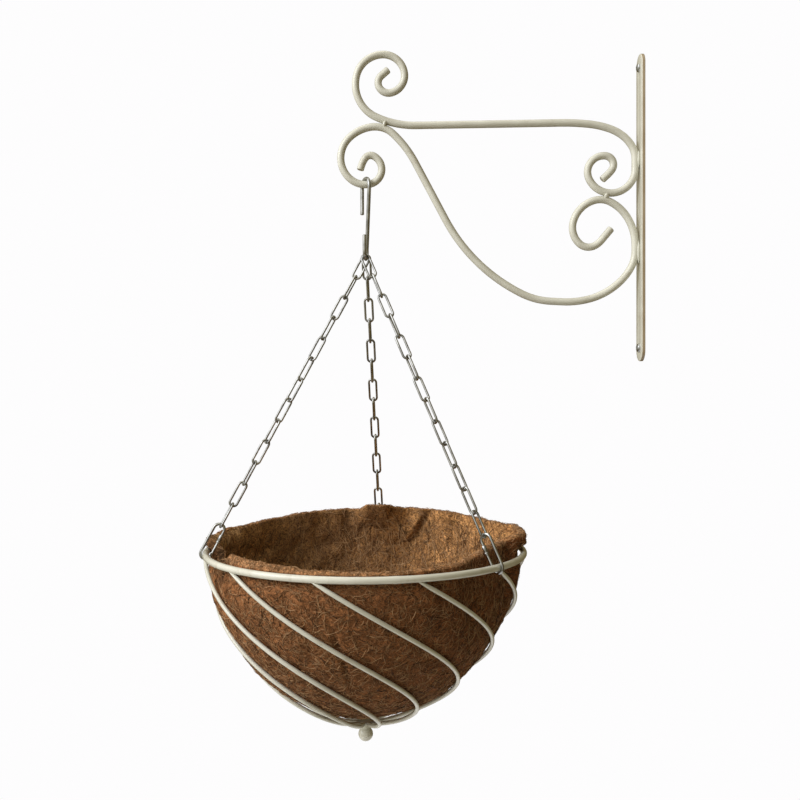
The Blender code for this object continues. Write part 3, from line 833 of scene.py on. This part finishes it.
def make_finial(rim):
    """A turned ball on a waist, under the hub that the ribs end on."""
    hub = rib_end_radius() - GAP
    under = -BOWL_DEPTH - RIB_WIRE / 2
    over = under + RIB_WIRE
    waist = BALL_NECK / 2
    middle = Vector((0.0, -BOWL_DEPTH - BALL_DROP))
    neck = math.degrees(math.acos(BALL_NECK / BALL))
    ball = [tuple(point) for point in arc(middle, BALL / 2, neck, -90, BALL_STEPS)]
    profile = [(0.0, over), (hub - HUB_CHAMFER, over), (hub, over - HUB_CHAMFER),
               (hub, under + HUB_UNDER_CHAMFER), (hub - HUB_UNDER_CHAMFER, under),
               (waist + WAIST_FILLET, under), (waist, under - WAIST_FILLET),
               *ball[:-1], (0.0, middle.y - BALL / 2)]
    verts, faces = turned(profile[::-1], FINIAL_STEPS)
    piece("ball_end", (verts + np.array(rim), faces), PAINT, "basket", "ball_finial")


def smoothstep(value, low, high):
    share = np.clip((value - low) / (high - low), 0.0, 1.0)
    return share * share * (3 - 2 * share)


def angle_apart(one, two):
    return (one - two + 180) % 360 - 180


# The mat's grid. Its low rows follow the ribs between these shares of the bowl, closer together by the floor.
LINER_COLUMNS = 480
LINER_LOW_ROWS = 44
LINER_HIGH_ROWS = 12
LIP_ROWS = 5
LINER_FLOOR = 0.985
LINER_LOW_END = share_at_drop(0.016)
LINER_CROWDING = 0.85
# Height of the top edge above the middle of the rim by azimuth, and how much lower its outer side is.
EDGE = ((0, 0.0205), (10, 0.0203), (30, 0.0208), (60, 0.0255), (75, 0.0270), (81, 0.0315), (92, 0.0318),
        (95, 0.0250), (102, 0.0240), (111, 0.0238), (120, 0.0228), (131, 0.0192), (150, 0.0165),
        (158, 0.0152), (165, 0.0138), (175, 0.0108), (181, 0.0090), (184, 0.0074), (189, 0.0005),
        (195, -0.0035), (213, -0.0035), (216, 0.0100), (230, 0.0096), (245, 0.0085), (250, 0.0058),
        (270, 0.0047), (285, 0.0052), (300, 0.0070), (313, 0.0092), (320, 0.0122), (327, 0.0154),
        (335, 0.0148), (343, 0.0142), (346, 0.0196), (350, 0.0210), (360, 0.0205))
BEVEL = ((0, 0.0010), (190, 0.0015), (211, 0.0056), (245, 0.0052), (251, 0.0026), (270, 0.0014),
         (290, 0.0006), (360, 0.0010))
# Where the wall above the rim leans outwards: azimuth, half width and easing in degrees, the heights where
# the lean starts and ends, and how far.
FLARES = ((2, 17, 4, 0.0036, 0.0105, 0.0094), (172, 15.0, 3, 0.0035, 0.0095, 0.0076))
# A dent goes from one azimuth to another, with the easing at each of those ends in degrees, how far in it
# goes, and how far below the rim it fades out.
DENTS = ((184, 215.5, 5, 1.5, 0.0084, 0.045), (300, 346.5, 18, 3, 0.0140, 0.095),
         (75, 98, 8, 8, 0.0085, 0.070), (343, 372, 3, 14, 0.0034, 0.014))
# Behind the back connector the wall leans in as the chain does, per metre of height. It does so all the way
# in the middle of a dent, easing to its sides, in degrees, and stays this clear of the connector.
BACK_LEAN = 0.522
BACK_DENT_FLAT = 5.0
BACK_DENT_WIDTH = 15.0
BACK_DENT_CLEARANCE = 0.003
# A fold inside: the azimuth of its ridge, its lean in degrees per metre of drop, the easing before and after
# it, its depth, and how far down it goes.
FOLDS = ((52, 30, 2.0, 12, 0.0030, 0.070), (63, 260, 2.0, 16, 0.0046, 0.080), (84, -40, 4, 12, 0.0022, 0.060),
         (37, 0, 1.5, 10, 0.0026, 0.060), (118, 40, 4, 16, 0.0022, 0.070), (146, -30, 4, 14, 0.0020, 0.060))
# A groove: azimuth, lean in degrees per metre of drop, width in degrees, depth, and how far below the top it
# starts and ends.
INNER_GROOVES = ((63, 160, 1.7, 0.0028, -0.02, 0.058), (101, -60, 2.4, 0.0018, -0.02, 0.050),
                 (20, -20, 2.0, 0.0014, -0.02, 0.040), (79, 0, 1.3, 0.0022, -0.02, 0.022),
                 (55, -120, 1.3, 0.0016, 0.0, 0.045))
OUTER_GROOVES = ((216.2, 60, 1.3, 0.0022, -0.02, 0.080), (247, -40, 2.0, 0.0010, -0.02, 0.055),
                 (296, 30, 2.0, 0.0012, -0.02, 0.055), (257, 75, 1.1, 0.0026, 0.048, 0.130),
                 (249, 40, 1.0, 0.0018, 0.052, 0.095), (229, 40, 1.2, 0.0017, 0.066, 0.120),
                 (311, 60, 1.2, 0.0018, 0.040, 0.100))
# How much shade is painted in the mat's grooves, per metre of depth. Shade is painted deep in a fold
# near the rim too, and on part of its edge: azimuth, width in degrees, and how much.
INNER_PAINTED_SHADE = 150
OUTER_PAINTED_SHADE = 170
FOLD_PAINTED_SHADE = (210.0, 5.0, 0.95)
EDGE_PAINTED_SHADE = (196.0, 13.0, 0.92)
# Layers of noise: amount, scale and seed.
EDGE_NOISE = ((0.0006, 3.1, 1), (0.0009, 11.0, 2), (0.0006, 37.0, 3))
WAVES = ((0.0012, 24.0, 4),)
WAVES_INWARDS = 0.00018
OUTER_LUMPS = ((0.00075, 95.0, 5), (0.00055, 210.0, 6))
INNER_LUMPS = ((0.0009, 80.0, 7), (0.00060, 200.0, 8))
THICKNESS = ((0.0012, 40.0, 9),)
# The mat is thinner than the solid, stands off the ribs, and swells less inside than outside.
THINNER = 0.0012
OFF_RIBS = 0.0004
INNER_BULGE_SHARE = 0.7


def noise_layers(spots, layers):
    """The sum of layers of noise at an array of points."""
    total = np.zeros(spots.shape[:-1])
    for amount, scale, seed in layers:
        shift = Vector((seed * 7.31, seed * 3.17, seed * 5.53))
        values = [noise.noise(Vector(spot) * scale + shift) for spot in spots.reshape(-1, 3)]
        total += amount * np.reshape(values, total.shape)
    return total


def liner_rows():
    """Radius, height and share of the bowl for each row of the mat's outside that follows the ribs."""
    rows = []
    for row in range(LINER_LOW_ROWS):
        share = LINER_FLOOR + (LINER_LOW_END - LINER_FLOOR) * (row / (LINER_LOW_ROWS - 1)) ** LINER_CROWDING
        slope = bowl_slope(share)
        spot = np.array(bowl_profile(share)) + (RIB_WIRE / 2 + LINER_GAP) * np.array((-slope[1], slope[0]))
        rows.append((spot[0], -spot[1], share))
    return np.array(rows)


def liner_outside(azimuths, top):
    """Radius and height of the mat's outside before it is dented, by column and row, and each row's share."""
    rows = liner_rows()
    steps = np.arange(1, LINER_HIGH_ROWS + 1) / LINER_HIGH_ROWS
    high_z = rows[-1, 1] + (top[:, None] - rows[-1, 1]) * steps
    wall_foot = -0.004
    upright = smoothstep(high_z, rows[-1, 1], wall_foot)
    high_r = rows[-1, 0] + (LINER_WALL - rows[-1, 0]) * upright
    radius = np.concatenate([np.repeat(rows[None, :, 0], LINER_COLUMNS, 0), high_r], axis=1)
    height = np.concatenate([np.repeat(rows[None, :, 1], LINER_COLUMNS, 0), high_z], axis=1)
    for middle, width, easing, start, end, reach in FLARES:
        apart = np.abs(angle_apart(azimuths, middle))
        lean = reach * smoothstep(-apart, -width, easing - width)
        radius += lean[:, None] * smoothstep(height, start, end)
    return radius, height, np.concatenate([rows[:, 2], np.full(LINER_HIGH_ROWS, LINER_LOW_END)])


def between_ribs(azimuths, shares):
    """How far each point is from the ribs on its two sides: 0 on a rib, 1 halfway."""
    swirls = np.array([swirl_at(share) for share in shares])
    return np.sin(np.pi * ((azimuths[:, None] - FIRST_RIB - swirls) * RIB_COUNT / 360 % 1.0))


def bulges(azimuths, height, between):
    """How far the mat swells between the ribs: most on the left, and not by the rim or the floor."""
    leftness = (0.5 - 0.5 * np.cos(np.radians(azimuths)))[:, None]
    most = 0.0036 * (0.1 + 0.9 * leftness)
    below_rim = smoothstep(-height, 0.004, 0.022)
    above_floor = smoothstep(height, -0.165, -0.120)
    return most * smoothstep(between, 0.12, 0.75) * below_rim * above_floor


def floor_lift(azimuths, shares):
    """How much higher than the ribs the mat's floor is, more at one side and in the middle."""
    tilted = 0.0060 + 0.0032 * np.cos(np.radians(azimuths - 330))
    middle = 0.0035 * smoothstep(shares, 0.78, 0.95)
    return tilted[:, None] * smoothstep(shares, 0.55, 0.92) + middle


def dents(azimuths, height):
    """How far in the mat is pressed behind the connectors and at the ends of its flaps."""
    away = np.abs(angle_apart(azimuths, chain_azimuth("back")))
    connector_side = (RIM_ROD / 2 + CONNECTOR_SIDE_PLAY + CONNECTOR_WIRE) * math.hypot(1.0, BACK_LEAN)
    behind = RIM_RADIUS - connector_side - BACK_LEAN * height - BACK_DENT_CLEARANCE
    leaning = smoothstep(-away, -BACK_DENT_WIDTH, -BACK_DENT_FLAT)[:, None] * (LINER_WALL - behind)
    deep = np.maximum(0.0, leaning)
    full_height = -0.006
    for start, end, ease_in, ease_out, depth, fade in DENTS:
        apart = angle_apart(azimuths, start)
        span = end - start
        shape = smoothstep(apart, 0, ease_in) * (1 - smoothstep(apart, span - ease_out, span))
        deep = np.maximum(deep, (depth * shape)[:, None] * smoothstep(height, -fade, full_height))
    return deep


def folds(azimuths, drop):
    """How far in the folds inside go. They start to fade at three tenths of their length."""
    deep = np.zeros_like(drop)
    for ridge, lean, before, after, depth, length in FOLDS:
        apart = angle_apart(azimuths[:, None], ridge + lean * drop)
        shape = np.where(apart < 0, smoothstep(apart, -before, 0), 1 - smoothstep(apart, 0, after))
        deep = np.maximum(deep, depth * shape * smoothstep(-drop, -length, -0.3 * length))
    return deep


def grooves(rows, azimuths, drop):
    deep = np.zeros_like(drop)
    fade_in, fade_out = 0.012, 0.025
    for middle, lean, width, depth, start, end in rows:
        apart = angle_apart(azimuths[:, None], middle + lean * drop)
        fade = smoothstep(drop, start, start + fade_in) * smoothstep(-drop, -end, fade_out - end)
        deep = np.maximum(deep, depth * np.exp(-((apart / width) ** 2)) * fade)
    return deep


def painted_shade_at(azimuths, painted_shade, power):
    """How much shade is painted in a hollow at each azimuth. A higher power gives it steeper sides."""
    middle, width, share = painted_shade
    return share * np.exp(-((angle_apart(azimuths, middle) / width) ** power))[:, None]


def liner_surface():
    """Points of the mat and how much shade is painted on it there.

    Its columns go round it, and its rows from outside the floor up over the edge to inside the floor.
    """
    azimuths = 360 * np.arange(LINER_COLUMNS) / LINER_COLUMNS
    radians = np.radians(azimuths)
    around = polar(1.0, radians, 0.0)
    top = np.interp(azimuths, *zip(*EDGE)) + noise_layers(around, EDGE_NOISE)
    radius, height, shares = liner_outside(azimuths, top)
    between = between_ribs(azimuths, shares)
    bulge = bulges(azimuths, height, between)
    drop = top[:, None] - height
    outer_grooves = grooves(OUTER_GROOVES, azimuths, drop)
    inner_grooves = grooves(INNER_GROOVES, azimuths, drop)

    # Each side is moved along the section's own normal, towards the inside.
    flat = np.stack([radius, height], axis=-1)
    run = unit(np.gradient(flat, axis=1))
    into = np.stack([-run[..., 1], run[..., 0]], axis=-1)
    spots = polar(radius, radians[:, None], height)
    lift = floor_lift(azimuths, shares)
    pressed = dents(azimuths, height) + noise_layers(spots, WAVES) + WAVES_INWARDS
    lumps = noise_layers(spots, OUTER_LUMPS) * smoothstep(between, 0.0, 0.6)
    outer_move = np.maximum(0.0, pressed) - bulge + lift + lumps + OFF_RIBS + outer_grooves
    thick = LINER_THICK - THINNER + noise_layers(spots, THICKNESS)
    inner_move = (pressed - INNER_BULGE_SHARE * bulge + lift + thick + noise_layers(spots, INNER_LUMPS)
                  + folds(azimuths, drop) - inner_grooves)
    outer = flat + into * outer_move[..., None]
    inner = flat + into * inner_move[..., None]
    upwards = np.arange(1, LINER_HIGH_ROWS + 1) / LINER_HIGH_ROWS
    outer[:, LINER_LOW_ROWS:, 1] -= np.interp(azimuths, *zip(*BEVEL))[:, None] * upwards**2

    rows = [outer]
    for row in range(1, LIP_ROWS + 1):
        share = row / (LIP_ROWS + 1)
        across = outer[:, -1] * (1 - share) + inner[:, -1] * share
        crown = 0.0012 * math.sin(math.pi * share)
        across[:, 1] += crown + noise_layers(around, ((0.0004, 90.0 + 17 * row, 10 + row),))
        rows.append(across[:, None])
    section = np.concatenate([*rows, inner[:, ::-1]], axis=1)

    # Painted shade: in the grooves by their depth, deep in the fold by the rim, and on part of the edge.
    fold_painted_shade = painted_shade_at(azimuths, FOLD_PAINTED_SHADE, 2) * smoothstep(height, -0.040, -0.010)
    edge_painted_shade = painted_shade_at(azimuths, EDGE_PAINTED_SHADE, 4)
    outer_painted_shade = np.maximum(OUTER_PAINTED_SHADE * outer_grooves, fold_painted_shade)
    outer_painted_shade = np.maximum(outer_painted_shade, edge_painted_shade * smoothstep(height, -0.006, 0.002))
    painted_shade = np.concatenate([outer_painted_shade, np.repeat(edge_painted_shade, LIP_ROWS, 1),
                             INNER_PAINTED_SHADE * inner_grooves[:, ::-1]], axis=1)
    return polar(section[..., 0], radians[:, None], section[..., 1]), painted_shade


def make_liner(rim):
    surface, painted_shade = liner_surface()
    surface = surface + np.array(rim)
    columns, rows = surface.shape[:2]
    low, high = surface[:, 0].mean(axis=0), surface[:, -1].mean(axis=0)
    verts = np.concatenate([surface.reshape(-1, 3), [low, high]])
    faces = []
    for column in range(columns):
        one, two = column * rows, (column + 1) % columns * rows
        for row in range(rows - 1):
            faces.append((one + row, two + row, two + row + 1, one + row + 1))
        faces.append((len(verts) - 2, two, one))
        faces.append((len(verts) - 1, one + rows - 1, two + rows - 1))
    outside, lip = LINER_LOW_ROWS + LINER_HIGH_ROWS - 1, LIP_ROWS + 1
    finish = np.tile([0] * outside + [1] * lip + [2] * (rows - 1 - outside - lip) + [0, 2], columns)
    mat = piece("coir_liner_mat", (verts, faces), COIR, "basket", "coir_liner", sharp=70,
                extra=(COIR_CUT, COIR_INSIDE), chosen=finish)
    # The painted shade is kept on the mesh as an attribute, which the mat's materials read.
    shade = mat.data.attributes.new("painted_shade", "FLOAT", "POINT")
    shade.data.foreach_set("value", [*painted_shade.ravel(), 0.0, 0.0])
    return surface, painted_shade


# Loose fibres: name, where they lie, darkest and palest tone, and how many. Those inside are paler than
# those outside, a painted light like the lightening of the mat's inside.
FIBRES = (("dark", "outside", (0.028, 0.013, 0.005), (0.062, 0.029, 0.012), 2600),
          ("brown", "outside", (0.150, 0.072, 0.030), (0.250, 0.128, 0.056), 7800),
          ("pale", "outside", (0.255, 0.140, 0.063), (0.410, 0.246, 0.122), 7000),
          ("inner_dark", "inside", (0.035, 0.018, 0.007), (0.080, 0.040, 0.017), 1500),
          ("inner_brown", "inside", (0.190, 0.098, 0.042), (0.310, 0.168, 0.075), 5600),
          ("inner_pale", "inside", (0.320, 0.184, 0.083), (0.500, 0.310, 0.155), 4600),
          ("edge", "edge", (0.200, 0.105, 0.046), (0.420, 0.250, 0.125), 2400))
# For each place: lengths in metres, how much they bend, and how far they turn from upright, in radians.
FIBRE_WAYS = {"outside": (0.005, 0.018, 70.0, 3.0), "inside": (0.010, 0.034, 38.0, 0.85),
              "edge": (0.003, 0.009, 80.0, 3.0)}
FIBRE_POINTS = 6
FIBRE_SIDES = 3
# Those at the edge spread over a few rows. None go to the last rows on the floor.
EDGE_SPREAD = 2.2
BARE_ROWS = 3
# The map that the fibres' colours are baked through: each fibre has a cell of a square grid, with a margin.
BAKE_MAP = "OFBake"
CELL_MARGIN = 0.12


def fibre_pattern():
    """The faces of one fibre, a tube that ends in points, and the place of each corner in its cell."""
    last = FIBRE_POINTS - 1
    tip = 1 + (FIBRE_POINTS - 2) * FIBRE_SIDES
    faces, places = [], []
    for turn in range(FIBRE_SIDES):
        after = (turn + 1) % FIBRE_SIDES
        left, middle, right = (np.array((0.0, 0.5, 1.0)) + turn) / FIBRE_SIDES
        faces.append((0, 1 + after, 1 + turn))
        places += [(middle, 0.0), (right, 1 / last), (left, 1 / last)]
        for ring in range(1, last - 1):
            low, high = 1 + (ring - 1) * FIBRE_SIDES, 1 + ring * FIBRE_SIDES
            start, end = ring / last, (ring + 1) / last
            faces.append((low + turn, low + after, high + after, high + turn))
            places += [(left, start), (right, start), (right, end), (left, end)]
        top = tip - FIBRE_SIDES
        faces.append((top + turn, top + after, tip))
        places += [(left, 1 - 1 / last), (right, 1 - 1 / last), (middle, 1.0)]
    return faces, np.array(places)


def on_grid(grid, column, row):
    """Values between the points of a grid whose columns go all the way round."""
    columns, rows = grid.shape[:2]
    row = np.clip(row, 0, rows - 1.001)
    c0, r0 = np.floor(column).astype(int) % columns, np.floor(row).astype(int)
    fc, fr = (column - np.floor(column))[:, None], (row - r0)[:, None]
    c1, r1 = (c0 + 1) % columns, r0 + 1
    return ((grid[c0, r0] * (1 - fc) + grid[c1, r0] * fc) * (1 - fr)
            + (grid[c0, r1] * (1 - fc) + grid[c1, r1] * fc) * fr)


def scattered(area, painted_shade, band, count):
    """Columns and rows where fibres start, spread over a band of the mat, fewer where shade is painted on it.
    """
    columns, rows = painted_shade.shape
    numbers = np.arange(rows)
    lip = LINER_LOW_ROWS + LINER_HIGH_ROWS + LIP_ROWS / 2
    reach = LIP_ROWS / 2 + 1
    if band == "edge":
        row = lip + rng.normal(0.0, EDGE_SPREAD, count)
    else:
        inside = numbers > lip + reach
        outside = numbers < lip - reach
        share = np.cumsum(area * (inside if band == "inside" else outside))
        row = np.interp(rng.random(count) * share[-1], share, numbers)
    column = rng.random(count) * columns
    # Fewer fibres where shade is painted, so that the painted shade shows.
    bare = on_grid(painted_shade[..., None], column, row)[:, 0] > rng.random(count)
    return column[~bare], row[~bare]


def fibre_paths(surface, normals, column_step, row_step, column, row, band):
    """Points along fibres that start at these columns and rows, their ends tucked in, and their radii."""
    count = len(row)
    numbers = np.arange(surface.shape[1])
    shortest, longest, bending, turning = FIBRE_WAYS[band]
    heading = np.pi / 2 + rng.normal(0.0, turning, count)
    bend = rng.normal(0.0, bending, count)
    step = rng.uniform(shortest, longest, count) / (FIBRE_POINTS - 1)
    radius = rng.uniform(0.00014, 0.00031, count)
    lift = rng.uniform(0.0, 0.0005, count)
    arch = np.abs(rng.normal(0.0, 0.0004, count))
    flyaway = (band == "edge") & (rng.random(count) < 0.25)
    rise = np.where(flyaway, rng.uniform(0.0004, 0.0016, count), 0.0)
    path = []
    for index in range(FIBRE_POINTS):
        along = index / (FIBRE_POINTS - 1)
        tuck = 0.0003 if along in (0.0, 1.0) else 0.0
        off = lift + arch * math.sin(math.pi * along) + rise * along**2 - tuck
        path.append(on_grid(surface, column, row) + unit(on_grid(normals, column, row)) * off[:, None])
        spot = np.clip(row, 0, numbers[-1])
        column = column + np.cos(heading) * step / np.interp(spot, numbers, column_step)
        row = row + np.sin(heading) * step / np.interp(spot, numbers, row_step)
        row = np.clip(row, BARE_ROWS, numbers[-1] - BARE_ROWS)
        wander = rng.normal(0.0, 0.16, count)
        heading = heading + bend * step + wander
    return np.stack(path, axis=1), radius


def fibre_points(path, radius):
    """The points of each fibre's tube, by fibre."""
    ways = unit(np.gradient(path, axis=1))
    aside = np.array((0.31, 0.52, 0.79))
    one = unit(np.cross(ways, aside))
    two = np.cross(ways, one)
    turns = circle_turns(FIBRE_SIDES)[:, None]
    rings = (path[:, 1:-1, None] + radius[:, None, None, None] * (
        np.cos(turns) * one[:, 1:-1, None] + np.sin(turns) * two[:, 1:-1, None]))
    return np.concatenate([path[:, :1], rings.reshape(len(path), -1, 3), path[:, -1:]], axis=1)


def make_fibres(surface, painted_shade):
    """Loose fibres that lie on the mat, some standing off its edge."""
    round_way = np.roll(surface, -1, 0) - np.roll(surface, 1, 0)
    down_way = np.gradient(surface, axis=1)
    normals = unit(np.cross(round_way, down_way))
    column_step = np.linalg.norm(round_way, axis=-1).mean(axis=0) / 2
    row_step = np.linalg.norm(down_way, axis=-1).mean(axis=0)
    area = column_step * row_step
    area[:BARE_ROWS + 1] = 0.0
    area[-BARE_ROWS - 1:] = 0.0
    pattern, places = fibre_pattern()
    for name, band, dark, pale, count in FIBRES:
        column, row = scattered(area, painted_shade, band, count)
        points = fibre_points(*fibre_paths(surface, normals, column_step, row_step, column, row, band))
        count, size = points.shape[:2]
        faces = [tuple(fibre * size + index for index in face) for fibre in range(count) for face in pattern]
        tone = coir_fibre(f"coir_fibre_{name}", dark, pale)
        made = piece(f"coir_fibres_{name}", (points.reshape(-1, 3), faces), tone, "basket", sharp=80)
        grid = math.ceil(math.sqrt(count))
        cells = np.stack([np.arange(count) % grid, np.arange(count) // grid], axis=1)
        corners = (cells[:, None] + CELL_MARGIN + (1 - 2 * CELL_MARGIN) * places[None]) / grid
        made.data.uv_layers.new(name=BAKE_MAP).data.foreach_set("uv", corners.ravel())


# The sky's tones, from its far side to the side that the light comes from.
LIGHT_SIDE = (-0.76, -0.40, 0.52)
SKY = ((0.0, (0.125, 0.095, 0.036)), (0.40, (0.175, 0.135, 0.058)), (0.62, (0.325, 0.288, 0.205)),
       (0.82, (0.605, 0.575, 0.465)), (0.95, (0.98, 0.95, 0.87)), (1.0, (3.6, 3.6, 3.6)))
# Each light: name, place, diameter, power, tint, and whether it shows in reflections.
LIGHTS = (("key", (-2.25, -1.05, 0.95), 1.5, 50.5, (0.985, 1.0, 1.13), False),
          ("top", (-0.5, 0.3, 1.9), 1.4, 8.0, (1.0, 0.94, 0.80), True))
LIGHTS_AIM = (-0.28, 0.0, -0.22)


def make_floor():
    """A pale floor below the frame of the picture."""
    shape = bmesh.new()
    bmesh.ops.create_circle(shape, cap_ends=True, segments=96, radius=0.62,
                            matrix=Matrix.Translation((-0.25, 0.0, -0.93)))
    mesh = bpy.data.meshes.new("pale_floor")
    shape.to_mesh(mesh)
    shape.free()
    mesh.materials.append(studio_floor())
    floor = bpy.data.objects.new("pale_floor", mesh)
    bpy.context.scene.collection.objects.link(floor)


def make_sky():
    """A soft sky that lights the object and shows white behind it."""
    world = bpy.data.worlds.new("studio")
    bpy.context.scene.world = world
    world.use_nodes = True
    world.node_tree.nodes.clear()
    sky = Nodes(world.node_tree)
    facing = sky.add("ShaderNodeVectorMath", {"operation": "DOT_PRODUCT"})
    sky.give(facing.inputs[0], sky.add("ShaderNodeTexCoord").outputs["Generated"])
    sky.give(facing.inputs[1], Vector(LIGHT_SIDE).normalized())
    tone = sky.ramp(sky.span(facing.outputs["Value"], (-1.0, 1.0), (0.0, 1.0)), *SKY)
    soft = sky.add("ShaderNodeBackground", Color=tone)
    white = sky.add("ShaderNodeBackground", Color=(0.985, 0.98, 0.985, 1.0))
    shown = sky.add("ShaderNodeMixShader", Fac=sky.add("ShaderNodeLightPath").outputs["Is Camera Ray"])
    sky.give(shown.inputs[1], soft.outputs[0])
    sky.give(shown.inputs[2], white.outputs[0])
    sky.add("ShaderNodeOutputWorld", Surface=shown.outputs[0])


def make_lights():
    for name, spot, size, power, tint, glossy in LIGHTS:
        light = bpy.data.lights.new(name, "AREA")
        light.shape = "DISK"
        light.size = size
        light.energy = power
        light.color = tint
        lamp = bpy.data.objects.new(name, light)
        lamp.location = spot
        lamp.rotation_euler = (Vector(LIGHTS_AIM) - Vector(spot)).to_track_quat("-Z", "Y").to_euler()
        lamp.visible_glossy = glossy
        bpy.context.scene.collection.objects.link(lamp)


def make_camera():
    view = bpy.data.cameras.new("camera")
    view.lens = 40.5
    view.sensor_width = 36.0
    view.clip_start = 0.01
    camera = bpy.data.objects.new("camera", view)
    camera.location = (-0.2655, -0.986, -0.2105)
    camera.rotation_euler = (math.pi / 2, 0.0, 0.0)
    bpy.context.scene.collection.objects.link(camera)
    bpy.context.scene.camera = camera
    bpy.context.scene.view_settings.view_transform = "Standard"


seat = make_bracket()
make_hook(seat)
rim = rim_middle(seat)
link = tube(butted_loop(LINK_LENGTH, LINK_WIDTH, CHAIN_WIRE, LINK_SEAM), CHAIN_WIRE / 2, LINK_SIDES)
connector = connector_shape()
for chain in CHAIN_SEATS:
    make_chain(chain, link, connector, seat, rim)
make_rim(rim)
make_ribs(rim)
make_finial(rim)
make_fibres(*make_liner(rim))
make_floor()
make_sky()
make_lights()
make_camera()
